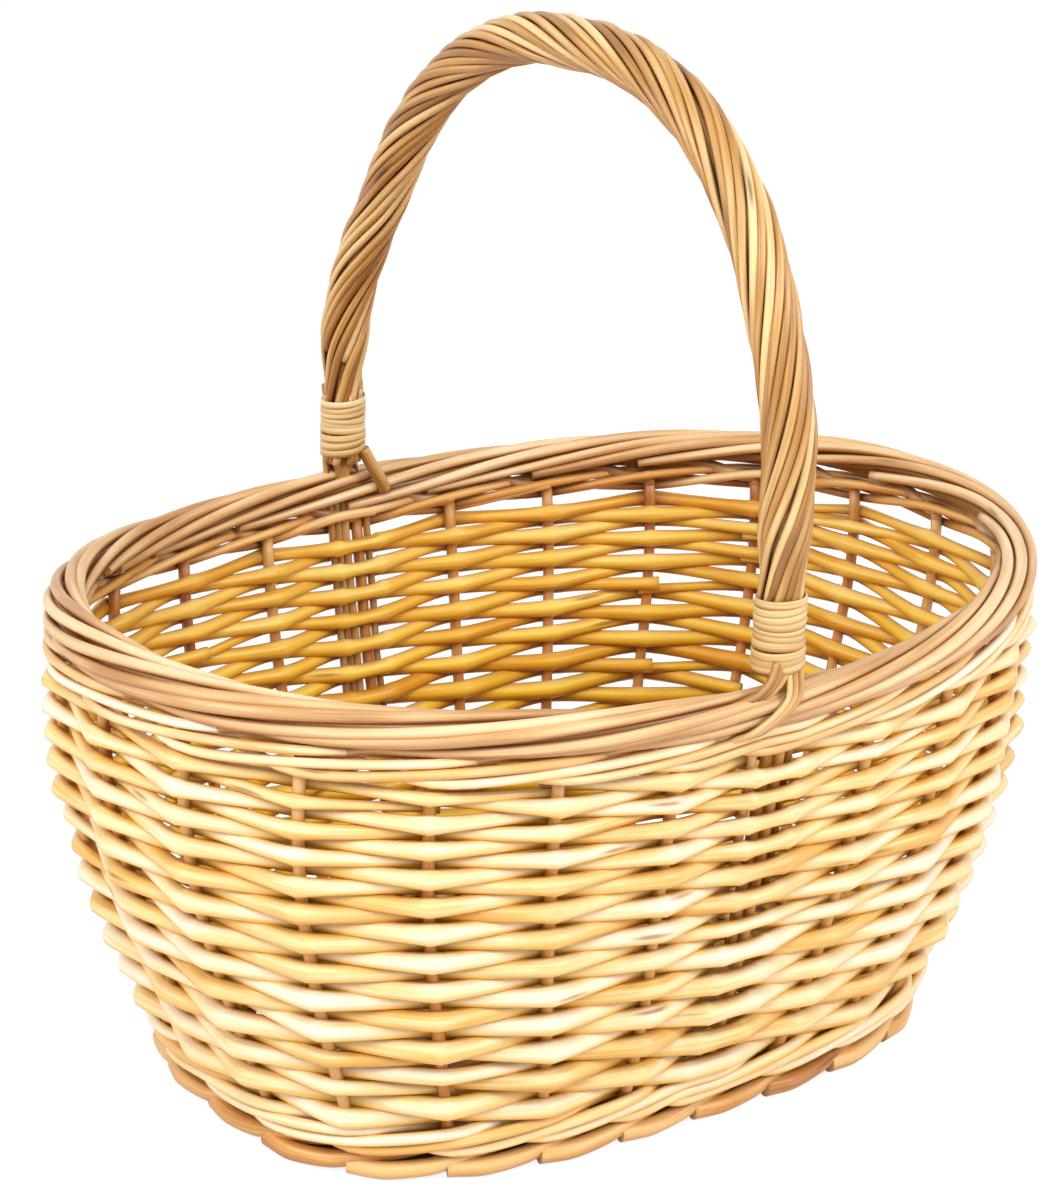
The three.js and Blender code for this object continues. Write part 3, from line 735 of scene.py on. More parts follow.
@dataclass
class SideWeave:
    """Plain weave of the side: two strands of rods chase each other round the stakes."""

    materials: Materials
    rows: int = 24
    first_height: float = 0.0297
    first_pitch: float = 0.00757
    pitch_loss: float = 0.0000602
    butt_radius: float = 0.0050
    tip_radius: float = 0.0044
    thickness: Range = (0.94, 1.05)
    top_thinning: float = 0.19
    butt_share: float = 0.72
    tip_share: float = 0.6
    tip_taper: float = 2.0
    hug: float = 0.67
    droop: float = 0.0012
    top_droop: float = 0.1
    top_levels: Range = (0.72, 0.88)
    height_noise: float = 0.00035
    offset_noise: float = 0.0004
    foot_offset: float = 0.0005
    crossing_share: float = 0.55
    least_squeeze: float = 0.05
    stake_radius: float = 0.0023
    seam: int = 9
    climb_spaces: int = 3
    shortest_rod: int = 16
    longest_rod: int = 24
    least_left: int = 8
    end_reach: float = 0.0045
    end_out: float = 0.0024
    end_lift: float = 0.0014
    # The lay paints crevice shade at the stakes and shade where rows touch, more of it midway between stakes
    lay: Lay = Lay(7, 0.45, 1.0, 0.1, 0.4)

    def row_height(self, row: float) -> float:
        """Returns a row's height, with rows packed closer towards the top."""
        return self.first_height + self.first_pitch * row - self.pitch_loss * row * row

    def height(self, strand: int, travelled: int) -> float:
        """Works out how high a strand lies, with a climb of two rows at the end of each round but the last.

        Args:
            strand: 0 or 1.
            travelled: Spaces from the seam.

        Returns:
            The height.
        """
        last = self.rows // 2 - 1
        rounds = min(travelled // WALL.stakes, last)
        left = travelled - rounds * WALL.stakes
        climb = smooth(left, WALL.stakes - self.climb_spaces, WALL.stakes) if rounds < last else 0.0
        return self.row_height(2 * (rounds + climb) + strand)

    def rod(self, strand: int, start: int, end: int, chance: random.Random) -> Rod:
        """Lays one rod of a strand.

        Args:
            strand: 0 or 1.
            start: Spaces from the seam to its butt.
            end: Spaces from the seam to its tip.
            chance: Where its unevenness comes from.

        Returns:
            The rod.
        """
        knots = []
        thick = chance.uniform(*self.thickness)
        for travelled in range(start, end + 1):
            station = self.seam + travelled
            height = self.height(strand, travelled) + chance.gauss(0.0, self.height_noise)
            radius = mix(self.butt_radius, self.tip_radius, (travelled - start) / (end - start)) * thick
            radius *= 1.0 - self.top_thinning * height / WALL.rim_height
            tip = mix(self.tip_share, 1.0, smooth(end - travelled, 0.0, self.tip_taper))
            radius *= tip * mix(self.butt_share, 1.0, smooth(travelled - start))
            side = 1.0 if (station + strand) % 2 == 0 else -1.0
            top = smooth(height / WALL.rim_height, *self.top_levels)
            height -= self.droop * (side < 0) * mix(1.0, self.top_droop, top)
            stops = WALL.stops(station)
            for along in stops:
                if travelled == start:
                    along -= self.end_reach
                elif travelled == end:
                    along += self.end_reach
                offset = (self.stake_radius + radius) * self.hug + self.foot_offset * (len(stops) > 1)
                offset += chance.uniform(0, self.offset_noise) + self.end_out * (travelled == start)
                lift = self.end_lift * ((travelled == start) - (travelled == end))
                place = WALL.point(station, height + lift, side * offset, along)
                outward = WALL.outward(station, height / WALL.rim_height)
                knots.append(Knot(place, radius, outward, side))
        row = (start + end) / WALL.stakes
        pitch = self.first_pitch - 2 * self.pitch_loss * row
        mean_radius = sum(knot.radius for knot in knots) / len(knots)
        squeeze = max(1.0 - self.crossing_share * pitch / mean_radius, self.least_squeeze)
        return self.lay.lead(knots, squeeze)

    def build(self) -> None:
        """Builds a piece for each strand, out of rods that follow each other butt to tip."""
        total = WALL.stakes * self.rows // 2 - 1
        for strand, letter in enumerate("ab"):
            work = RodWork(f"side_weave_{letter}")
            start = strand
            while start < total:
                end = start + 2 * work.chance.randint(self.shortest_rod // 2, self.longest_rod // 2)
                if total - end < self.least_left:
                    end = total
                work.sweep(self.rod(strand, start, end, work.chance))
                start = end
            work.finish(self.materials, Wood.SIDE, [f"side_weaver_{letter}{run}" for run in (1, 2)])


@dataclass
class Wale:
    """A band of four rods twined round the stakes: each passes outside three stakes and inside the fourth."""

    materials: Materials
    name: str
    wood: Wood
    middle: float
    radius: float
    spread: float = 0.97
    inner_rise: float = 0.9
    middle_out: float = 0.0006
    thickness: Range = (0.94, 1.06)
    height_noise: float = 0.00025
    stake_radius: float = 0.0023
    # The lay paints crevice shade at the stakes and shade where the band's rods touch
    lay: Lay = Lay(6, 0.85, 0.9, 0.25, 0.15)
    rods: int = 4
    start: int = 9
    overlap: int = 2

    def build(self) -> None:
        """Builds the band."""
        work = RodWork(self.name)
        for phase in range(self.rods):
            knots = []
            thick = work.chance.uniform(*self.thickness)
            for step in range(WALL.stakes + self.overlap):
                station = self.start + phase + step
                turn = step % self.rods
                side = -1.0 if turn == 0 else 1.0
                rise = 2 * self.radius * self.spread * (turn - self.rods / 2 if turn else self.inner_rise)
                height = self.middle + rise + work.chance.gauss(0.0, self.height_noise)
                offset = self.stake_radius + self.radius + self.middle_out * (turn == self.rods // 2)
                for along in WALL.stops(station):
                    place = WALL.point(station, height, side * offset, along)
                    outward = WALL.outward(station, height / WALL.rim_height)
                    knots.append(Knot(place, self.radius * thick, outward, side))
            work.sweep(self.lay.lead(knots))
        work.finish(self.materials, self.wood, [f"{self.name}_rod_{i}" for i in (1, 2, 3)])


@dataclass
class StakesAndBorder:
    """Stakes that rise from the foot and run on round the rim as the rolled border."""

    stake_materials: Materials
    border_materials: Materials
    foot_height: float = 0.004
    stake_radius: float = 0.0025
    border_radius: float = 0.0025
    tip_radius: float = 0.0021
    thickness: Range = (0.9, 1.06)
    taper: Range = (0.5, 1.0)
    bend_height: float = 0.0125
    bend_end: float = 0.6
    bend_start: float = 0.003
    coil_radius: float = 0.0064
    start_angle: float = -92.0
    turn: float = 330.0
    roll: float = 10.0
    ease: float = 1.12
    run: float = 7.4
    run_spread: Range = (-1.6, 0.2)
    sway: Waver = Waver(0.012, 30.0)
    uneven: Waver = Waver(0.0011, 0.7)
    seeds: float = 50.0
    # Painted crevice shade on the hidden sides of the border rods, and below on the core inside them
    creep: float = 0.55
    crevice_shade: float = 0.95
    wall_steps: int = 16
    run_steps: int = 9
    core_rods: int = 3
    core_radius: float = 0.0026
    core_turns: int = 4
    core_creep: float = 3.0
    core_shade: float = 0.9
    core_steps: int = 144

    @staticmethod
    def reference(stake: int) -> Vector:
        """Returns the direction, roughly along the wall, that a stake's frames start from."""
        return ACROSS_HANDLE if (stake + 1) % (WALL.stakes // 2) < 3 else UP.cross(ACROSS_HANDLE)

    def upright(self, stake: int, chance: random.Random) -> Rod:
        """Follows one stake from the foot up to its bend.

        Args:
            stake: Its station.
            chance: Where its unevenness comes from.

        Returns:
            The rod.
        """
        rod = Rod(reference=self.reference(stake))
        seed = chance.uniform(0, self.seeds)
        for step in range(self.wall_steps + 1):
            height = mix(self.foot_height, WALL.rim_height - self.bend_height, step / self.wall_steps)
            outward = WALL.outward(stake, height / WALL.rim_height)
            place = WALL.point(stake + self.sway.at(seed, height), height)
            rod.add(place, self.stake_radius, outward, outward)
        return rod

    def border_rod(self, stake: int, chance: random.Random) -> Rod:
        """Follows one stake from its bend into the border.

        Args:
            stake: Its station.
            chance: Where the border's unevenness comes from.

        Returns:
            The rod.
        """
        rod = Rod(reference=self.reference(stake), creep=self.creep)
        top = WALL.rim_height - self.bend_height
        stretch = self.run + chance.uniform(*self.run_spread)
        roll = chance.uniform(-self.roll, self.roll)
        thick = chance.uniform(*self.thickness)
        seed = chance.uniform(0, self.seeds)
        steps = int(stretch * self.run_steps)
        for step in range(-1, steps + 1):
            gone = stretch * max(step, 0) / steps
            turned = self.turn * (gone / self.run) ** self.ease
            angle = math.radians(self.start_angle + roll * smooth(gone) + turned)
            coil = self.coil_radius + self.uneven.at(seed, gone)
            bend = smooth(gone, 0.0, self.bend_end)
            point = WALL.point(stake + gone, mix(top, WALL.rim_height + coil * math.sin(angle), bend),
                               coil * math.cos(angle) * bend)
            if step < 0:
                point.z -= self.bend_start
            opening = WALL.outward(stake + gone, 1.0) * math.cos(angle) + UP * math.sin(angle)
            radius = mix(mix(self.stake_radius, self.border_radius, bend), self.tip_radius,
                         smooth(gone / stretch, *self.taper)) * thick
            rod.add(point, radius, Vector(), opening, self.crevice_shade * bend)
        return rod

    def core_rod(self, strand: int) -> Rod:
        """Runs a ring of tucked-in rod tips round inside the border.

        Args:
            strand: Which ring.

        Returns:
            The ring, which runs on past its start.
        """
        rod = Rod(creep=self.core_creep)
        for step in range(self.core_steps + 2):
            angle = 2 * math.pi * (strand / self.core_rods + self.core_turns * step / self.core_steps)
            height, out = (self.core_radius * side for side in (math.sin(angle), math.cos(angle)))
            place = WALL.point(WALL.stakes * step / self.core_steps, WALL.rim_height + height, out)
            rod.add(place, self.core_radius, Vector(), UP, self.core_shade)
        return rod

    def build(self) -> None:
        """Builds the stakes, the border rods that they turn into and the core inside them."""
        stakes = RodWork("wall_stakes", sides=12)
        border = RodWork("rolled_border", sides=12)
        for stake in range(WALL.stakes):
            stakes.sweep(self.upright(stake, stakes.chance))
            border.sweep(self.border_rod(stake, border.chance))
        for strand in range(self.core_rods):
            border.sweep(self.core_rod(strand))
        stakes.finish(self.stake_materials, Wood.BORDER, [])
        names = [f"stake_{i:02d}" for i in range(1, WALL.stakes + 1)]
        border.finish(self.border_materials, Wood.BORDER, names)


@dataclass
class FootBorder:
    """The border that the basket stands on: clipped rods, each tucked in behind the next, and rings inside.

    The path holds stakes passed, distance out of the wall and height. A ring is its distance out of the wall.
    """

    materials: Materials
    radius: float = 0.0041
    path: Path = (
        (-0.05, 0.0056, 0.0044), (0.30, 0.0074, 0.0043), (0.75, 0.0056, 0.0054), (1.10, 0.0028, 0.0082),
        (1.55, -0.0010, 0.0108), (1.95, -0.0030, 0.0130))
    thickness: Range = (0.93, 1.05)
    taper: float = 0.14
    uneven: float = 0.02
    clearance: float = 0.0001
    level: float = 0.03
    # The lay and the rings paint crevice shade on the rods' hidden sides and where they touch
    lay: Lay = Lay(7, 0.8, 0.5, 0.2)
    ring_radius: float = 0.0026
    rings: tuple[float, ...] = (-0.0022, -0.0074, -0.0126)
    ring_clearance: float = 0.0003
    ring_shade: float = 0.8
    ring_steps: int = 144

    def build(self) -> None:
        """Builds the rods and the rings."""
        work = RodWork("foot_rods", sides=12)
        for stake in range(WALL.stakes):
            thick = work.chance.uniform(*self.thickness)
            knots = []
            for gone, outward, height in self.path:
                station = stake + gone + work.chance.uniform(-self.uneven, self.uneven)
                radius = self.radius * thick * (1.0 - self.taper * gone)
                place = WALL.point(station, max(height, radius + self.clearance), outward)
                knots.append(Knot(place, radius, WALL.outward(station, self.level), 1.0))
            work.sweep(self.lay.lead(knots))
        for outward in self.rings:
            work.sweep(wall_ring(self.ring_radius + self.ring_clearance, outward, self.ring_radius, -UP,
                                 self.ring_shade, self.ring_steps))
        work.finish(self.materials, Wood.BORDER, ["foot_border"])


@dataclass(frozen=True)
class Ray:
    """A base stick's end: where it leaves the slath, its direction and its radius."""

    x: float
    y: float
    angle: float
    radius: float

    def at(self, distance: float) -> Vector:
        """Returns the level point at a distance from the slath."""
        across, aside = math.cos(self.angle) * distance, math.sin(self.angle) * distance
        return Vector((self.x + across, self.y + aside, 0.0))


@dataclass
class Base:
    """The base: short pierced sticks with long ones through them, fanned out and woven over in pairs."""

    materials: Materials
    height: float = 0.0190
    wall_height: float = 0.0150
    spacing: float = 0.024
    long_radius: float = 0.0021
    short_radius: float = 0.0040
    stick_taper: tuple[float, ...] = (0.8, 0.95, 1.0, 1.0)
    # Painted crevice shade under the sticks, where the weave touches them, and on the edge rings
    stick_shade: float = 0.9
    long_spacing: float = 0.00455
    long_fan: float = 33.0
    short_fan: float = 66.0
    slath_end: float = 0.004
    slath_reach: float = 0.012
    rod_radius: float = 0.0022
    opening: float = 0.0022
    row_gap: float = 0.0002
    row_cover: float = 1.04
    first_ray: int = 4
    flat_rows: float = 1.5
    lay: Lay = Lay(5, 0.8, 0.0, 0.3, 0.5)
    edge: float = 0.0085
    edge_radius: float = 0.0024
    edge_rise: float = 0.0054
    edge_shade: float = 0.4
    edge_steps: int = 96

    def rays(self) -> list[Ray]:
        """Lists the stick ends in order round the base, from +X."""
        half_length = 2 * self.spacing + self.short_radius + self.slath_end
        half_width = self.long_spacing + self.long_radius
        fan, wide = math.radians(self.long_fan), math.radians(self.short_fan)
        quarter = [Ray(half_length, self.long_spacing, fan, self.long_radius),
                   Ray(2 * self.spacing, half_width, wide, self.short_radius),
                   Ray(self.spacing, half_width, math.pi / 2, self.short_radius)]
        left = [Ray(-r.x, r.y, math.pi - r.angle, r.radius) for r in reversed(quarter)]
        upper = [Ray(half_length, 0.0, 0.0, self.long_radius), *quarter,
                 Ray(0.0, half_width, math.pi / 2, self.short_radius), *left]
        lower = [Ray(-r.x, -r.y, r.angle + math.pi, r.radius) for r in upper]
        return upper + lower

    def length(self, ray: Ray) -> float:
        """Works out how far a stick goes before it meets the wall's lowest rods.

        Args:
            ray: The stick's end.

        Returns:
            The distance from the slath.
        """
        _, x, y = WALL.outline(self.wall_height / WALL.rim_height)
        dx, dy = x - ray.x, y - ray.y
        ahead = dx * math.cos(ray.angle) + dy * math.sin(ray.angle)
        aside = np.abs(dx * math.sin(ray.angle) - dy * math.cos(ray.angle))
        aside[ahead < 0] = math.inf
        return float(ahead[int(np.argmin(aside))]) - self.edge

    def build_sticks(self, rays: list[Ray], lengths: list[float]) -> None:
        """Builds the sticks, the long ones first, each from one end over the slath to the other.

        Args:
            rays: The sticks' ends.
            lengths: How far each goes.
        """
        half = len(rays) // 2
        work = RodWork("base_sticks", sides=12)
        pairs = [(1, half - 1), (0, half), (-1, half + 1)] + [(end, -end) for end in range(2, half - 1)]
        for start, end in pairs:
            stick = Rod()
            radius = rays[start].radius
            ends = [(start, reach) for reach in range(4)] + [(end, reach) for reach in reversed(range(4))]
            for index, reach in ends:
                distances = (lengths[index], lengths[index] / 2, self.slath_reach, 0.0)
                place = rays[index].at(distances[reach]) + UP * self.height
                stick.add(place, radius * self.stick_taper[reach], Vector(), UP, self.stick_shade)
            work.sweep(stick)
        work.finish(self.materials, Wood.BASE, [f"long_base_stick_{i}" for i in (1, 2, 3)]
                    + [f"short_base_stick_{i}" for i in range(1, 6)])

    def strand(self, rays: list[Ray], lengths: list[float], strand: int) -> list[Knot]:
        """Leads a strand over and under the sticks, from the slath out to the edge.

        Args:
            rays: The sticks' ends.
            lengths: How far each goes.
            strand: 0 or 1.

        Returns:
            The strand's knots, one for each stick that it passes.
        """
        knots = []
        rows = 2 * int((min(lengths) - self.opening) / (2 * self.rod_radius + self.row_gap) / 2)
        for step in range(len(rays) * (rows // 2 + 1) + 1):
            index = (step + self.first_ray) % len(rays)
            row = min(max(2 * step / len(rays) + strand - self.flat_rows, 0.0), rows - 1.0)
            reach = lengths[index] - self.rod_radius - self.opening
            radius = max(self.row_cover * reach / (rows - 1) / 2, self.rod_radius)
            side = 1.0 if (step + strand) % 2 == 0 else -1.0
            place = rays[index].at(self.opening + reach * row / (rows - 1)) + UP * self.height
            place += UP * side * (rays[index].radius + radius)
            knots.append(Knot(place, radius, Vector(), 0.0))
        return knots

    def build(self) -> None:
        """Builds the sticks, the weave in lengths of one round, and the rings at its edge."""
        rays = self.rays()
        lengths = [self.length(ray) for ray in rays]
        self.build_sticks(rays, lengths)
        weave = RodWork("base_weave", sides=8)
        for strand in (0, 1):
            knots = self.strand(rays, lengths, strand)
            for start in range(0, len(knots) - 1, len(rays)):
                weave.sweep(self.lay.lead(knots[start:start + len(rays) + 1]))
        for side in (-1.0, 1.0):
            height = self.height + side * self.edge_rise
            weave.sweep(wall_ring(height, -self.edge, self.edge_radius, UP * side, self.edge_shade,
                                  self.edge_steps))
        weave.finish(self.materials, Wood.BASE, ["base_weaver_a", "base_weaver_b"])


@dataclass
class HandleForm:
    """The line of the handle's bow, from the front foot over to the back one."""

    rise: float = 0.226
    half_span: float = 0.153
    squareness: float = 2.38
    lean: float = 0.0195
    tail_along: float = -0.00585
    border_half: float = 0.0073
    bunch_lift: float = 0.0066
    binding_height: float = 0.0320
    waist_diameter: float = 0.017
    diameter: float = 0.0208
    waist_margin: float = 0.0052
    waist_release: float = 0.022
    leg_ease: float = 0.090
    fine: int = 400

    @property
    def foot(self) -> float:
        """Height where the roping starts."""
        return WALL.rim_height + self.border_half + self.bunch_lift

    @property
    def waist_top(self) -> float:
        """Height where the roping starts to swell again."""
        return self.foot + self.binding_height + self.waist_margin

    def arch(self, angle: float) -> Vector:
        """Finds a point of the bow over its legs.

        Args:
            angle: 0 at the front and pi at the back.

        Returns:
            The point.
        """
        side = self.half_span * signed_power(-math.cos(angle), 2 / self.squareness)
        return Vector((self.tail_along, side - self.lean * math.sin(angle),
                       WALL.rim_height + self.rise * math.sin(angle) ** (2 / self.squareness)))

    def leg(self, height: float, side: float) -> Vector:
        """Finds a point of a leg, which stands straight up before it joins the arch.

        Args:
            height: Height over the ground.
            side: -1 for the front leg and 1 for the back one.

        Returns:
            The point.
        """
        rim = WALL.point(0, WALL.rim_height, 0.0, self.tail_along)
        angle = math.asin(max((height - WALL.rim_height) / self.rise, 0.0) ** (self.squareness / 2))
        arch = self.arch(angle if side < 0 else math.pi - angle)
        ease = smooth(height, self.waist_top, self.waist_top + self.leg_ease)
        return Vector((arch.x, mix(-side * rim.y, arch.y, ease), height))

    def line(self, steps: int) -> list[Vector]:
        """Runs from the front foot over to the back one in even steps.

        Args:
            steps: How many steps.

        Returns:
            The points.
        """
        top = self.waist_top + self.leg_ease
        start = math.asin(((top - WALL.rim_height) / self.rise) ** (self.squareness / 2))
        front, back = ([self.leg(mix(self.foot, top, i / self.fine), side) for i in range(self.fine)]
                       for side in (-1.0, 1.0))
        arch = [self.arch(mix(start, math.pi - start, i / self.fine)) for i in range(self.fine + 1)]
        fine = front + arch + back[::-1]
        rows = np.array([tuple(p) for p in fine])
        lengths = np.concatenate(([0.0], np.cumsum(np.linalg.norm(np.diff(rows, axis=0), axis=1))))
        wanted = np.linspace(0.0, lengths[-1], steps + 1)
        return [Vector([float(np.interp(w, lengths, rows[:, k])) for k in range(3)]) for w in wanted]

    def waist(self, height: float) -> float:
        """Returns the roping's radius at a height."""
        return mix(self.waist_diameter, self.diameter, smooth(height, self.waist_top,
                                                              self.waist_top + self.waist_release)) / 2


@dataclass(frozen=True)
class Binding:
    """The skein wound round one foot of the handle."""

    name: str
    side: float
    bottom: float
    height: float
    turns: int
    spread: float
    flare: float


@dataclass
class Handle:
    """The handle: a thick bow roped over with thin rods in bunches, bound with skein at both feet."""

    materials: Materials
    skein_materials: Materials
    form: HandleForm = field(default_factory=HandleForm)
    bunches: int = 5
    rods_each: int = 3
    closeness: float = 0.93
    rod_radius: float = 0.00195
    tip_radius: float = 0.00160
    pitch: float = 0.182
    steps: int = 150
    lie: Range = (-0.0007, 0.0004)
    rod_sway: Waver = Waver(0.11, 6.0)
    bunch_sway: Waver = Waver(0.10, 5.0, 2.0)
    bunch_seed: float = 7.3
    rod_lift: Waver = Waver(0.0006, 9.0, 4.0)
    rod_seeds: float = 90.0
    # Painted shade in the grooves of the roping, on the bow between the rods, between the skein's turns and
    # on the clipped ends
    rod_creep: float = 0.8
    rope_rod_shade: float = 1.0
    short_rods: tuple[int, ...] = (2, 6, 9, 13)
    short_above: Range = (1.06, 1.09)
    bow_radius: float = 0.0068
    bow_foot: float = 0.0160
    bow_foot_shares: tuple[float, ...] = (1.0, 0.6, 0.3)
    bow_foot_narrowing: float = 0.6
    bow_shade: Range = (1.0, 0.5)
    bindings: tuple[Binding, ...] = (Binding("front", -1.0, 0.2100, 0.0278, 10, 1.0, 0.0008),
                                     Binding("back", 1.0, 0.2118, 0.0252, 9, 0.8, 0.0004))
    flare_end: float = 0.6
    skein_overlap: float = 1.3
    skein_flatness: float = 0.28
    skein_out: float = 0.0009
    skein_slope: float = 0.0009
    skein_shift: Waver = Waver(0.0013, 0.9, 8.0)
    skein_lift: Waver = Waver(0.0004, 0.6)
    skein_width: Waver = Waver(0.22, 1.3, 5.0)
    skein_seeds: float = 50.0
    skein_creep: float = 0.3
    skein_dirt: Range = (0.4, 0.22)
    skein_steps: int = 28
    clipped_ends: int = 6
    clipped_radius: float = 0.0015
    clipped_spread: float = 0.25
    clipped_reach: Range = (0.002, 0.009)
    clipped_twist: Range = (-0.1, 0.35)
    clipped_depth: float = 0.008
    clipped_out: Range = (-0.0016, -0.0002)
    clipped_creep: float = 0.5
    clipped_shade: Range = (1.0, 0.5)
    clipped_steps: int = 5

    def rope_rod(self, line: list[Vector], index: int, chance: random.Random) -> Rod:
        """Winds one thin rod round the bow.

        Args:
            line: The bow's line.
            index: Which rod.
            chance: Where its unevenness comes from.

        Returns:
            The rod.
        """
        length = sum((b - a).length for a, b in zip(line, line[1:]))
        seed = chance.uniform(0, self.rod_seeds)
        lie = chance.uniform(*self.lie)
        bunch, place = divmod(index, self.rods_each)
        count = self.bunches * self.rods_each
        start = bunch / self.bunches + (place - (self.rods_each - 1) / 2) * self.closeness / count
        rod = Rod(creep=self.rod_creep)
        top = chance.uniform(*self.short_above) * (self.bindings[1].bottom + self.bindings[1].height)
        for i, centre in enumerate(line):
            if index in self.short_rods and i > self.steps // 2 and centre.z < top:
                break
            ahead = (line[min(i + 1, len(line) - 1)] - line[max(i - 1, 0)]).normalized()
            share = i / (len(line) - 1)
            sway = self.rod_sway.at(seed, share) + self.bunch_sway.at(bunch * self.bunch_seed, share)
            angle = 2 * math.pi * (start + share * length / self.pitch) + sway
            side = (ACROSS_HANDLE - ahead * ACROSS_HANDLE.dot(ahead)).normalized()
            out = Matrix.Rotation(angle, 3, ahead) @ side
            radius = mix(self.tip_radius, self.rod_radius, share if index % 2 else 1.0 - share)
            reach = self.form.waist(centre.z) - radius + lie + self.rod_lift.at(seed, share)
            rod.add(centre + out * reach, radius, Vector(), out, self.rope_rod_shade)
        return rod

    def skein(self, binding: Binding, chance: random.Random) -> Rod:
        """Winds a foot's skein from the border up.

        Args:
            binding: Which foot's.
            chance: Where its unevenness comes from.

        Returns:
            The skein.
        """
        rod = Rod(upright=True, flatness=self.skein_flatness, creep=self.skein_creep)
        count = binding.turns * self.skein_steps
        radius = binding.height / binding.turns / 2 * self.skein_overlap
        seed = chance.uniform(0, self.skein_seeds)
        for i in range(count + 1):
            share = i / count
            turn = i / self.skein_steps
            angle = 2 * math.pi * turn
            centre = self.form.leg(binding.bottom + binding.height * share ** binding.spread, binding.side)
            out = Vector((math.cos(angle), math.sin(angle), 0.0))
            flare = binding.flare * (1 - smooth(share, 0.0, self.flare_end))
            reach = self.form.waist_diameter / 2 + self.skein_out + flare
            reach += self.skein_lift.at(seed, turn)
            shift = self.skein_shift.at(seed, turn) + self.skein_slope * out.x * math.sin(turn)
            width = radius * (1.0 + self.skein_width.at(seed, turn))
            rod.add(centre + out * reach + UP * shift, width, Vector(), out, *self.skein_dirt)
        return rod

    def clipped(self, binding: Binding, index: int, chance: random.Random) -> Rod:
        """Makes a rod that comes out of the binding's top and is clipped just above it.

        Args:
            binding: Which foot's.
            index: Which rod.
            chance: Where its unevenness comes from.

        Returns:
            The rod.
        """
        top = binding.bottom + binding.height
        spread = chance.uniform(-self.clipped_spread, self.clipped_spread)
        angle = 2 * math.pi * (index + spread) / self.clipped_ends
        reach = chance.uniform(*self.clipped_reach)
        twist = chance.uniform(*self.clipped_twist)
        crevice_shade, contact_shade = self.clipped_shade
        rod = Rod(creep=self.clipped_creep)
        for step in range(self.clipped_steps + 1):
            share = step / self.clipped_steps
            centre = self.form.leg(mix(top - self.clipped_depth, top + reach, share), binding.side)
            turned = angle + twist * share
            out = Vector((math.cos(turned), math.sin(turned), 0.0))
            distance = self.form.waist_diameter / 2 + mix(*self.clipped_out, smooth(share))
            rod.add(centre + out * distance, self.clipped_radius, Vector(), out, crevice_shade, contact_shade * (1.0 - share))
        return rod

    def build(self) -> None:
        """Builds the bow, the roping and both bindings."""
        line = self.form.line(self.steps)
        bow = RodWork("bow", sides=16)
        core = Rod(reference=ACROSS_HANDLE)
        foot, end = ([tip - UP * self.bow_foot * share for share in self.bow_foot_shares]
                     for tip in (line[0], line[-1]))
        for point in (*foot, *line, *end[::-1]):
            narrow = self.bow_foot_narrowing if point.z < self.form.foot else 1.0
            radius = narrow * self.bow_radius * self.form.waist(point.z) * 2 / self.form.diameter
            core.add(point, radius, Vector(), Vector(), *self.bow_shade)
        bow.sweep(core)
        bow.finish(self.materials, Wood.HANDLE, ["handle_bow"])
        roping = RodWork("handle_roping", sides=10)
        for index in range(self.bunches * self.rods_each):
            roping.sweep(self.rope_rod(line, index, roping.chance))
        for index in range(self.clipped_ends):
            roping.sweep(self.clipped(self.bindings[1], index, roping.chance))
        roping.finish(self.materials, Wood.HANDLE, [f"handle_bunch_{i}" for i in range(1, 6)])
        for binding in self.bindings:
            work = RodWork(f"{binding.name}_skein", sides=10)
            work.sweep(self.skein(binding, work.chance))
            work.finish(self.skein_materials, Wood.SKEIN, [f"{binding.name}_binding"])


@dataclass(frozen=True)
class WallTail:
    """A thin rod from the binding down into the wall: place along, depth, radius and angle round the leg."""

    along: float
    depth: float
    radius: float
    fan: float


@dataclass(frozen=True)
class Crossing:
    """Thin rods side by side over the border, with places along, out of the wall and over the ground."""

    path: Path
    radius: float
    count: int = 1


@dataclass(frozen=True)
class Foot:
    """A foot of the handle: its name and stake, 1 at the front and -1 at the back, and its rods."""

    name: str
    station: int
    mirror: float
    tails: tuple[WallTail, ...]
    crossings: tuple[Crossing, ...]


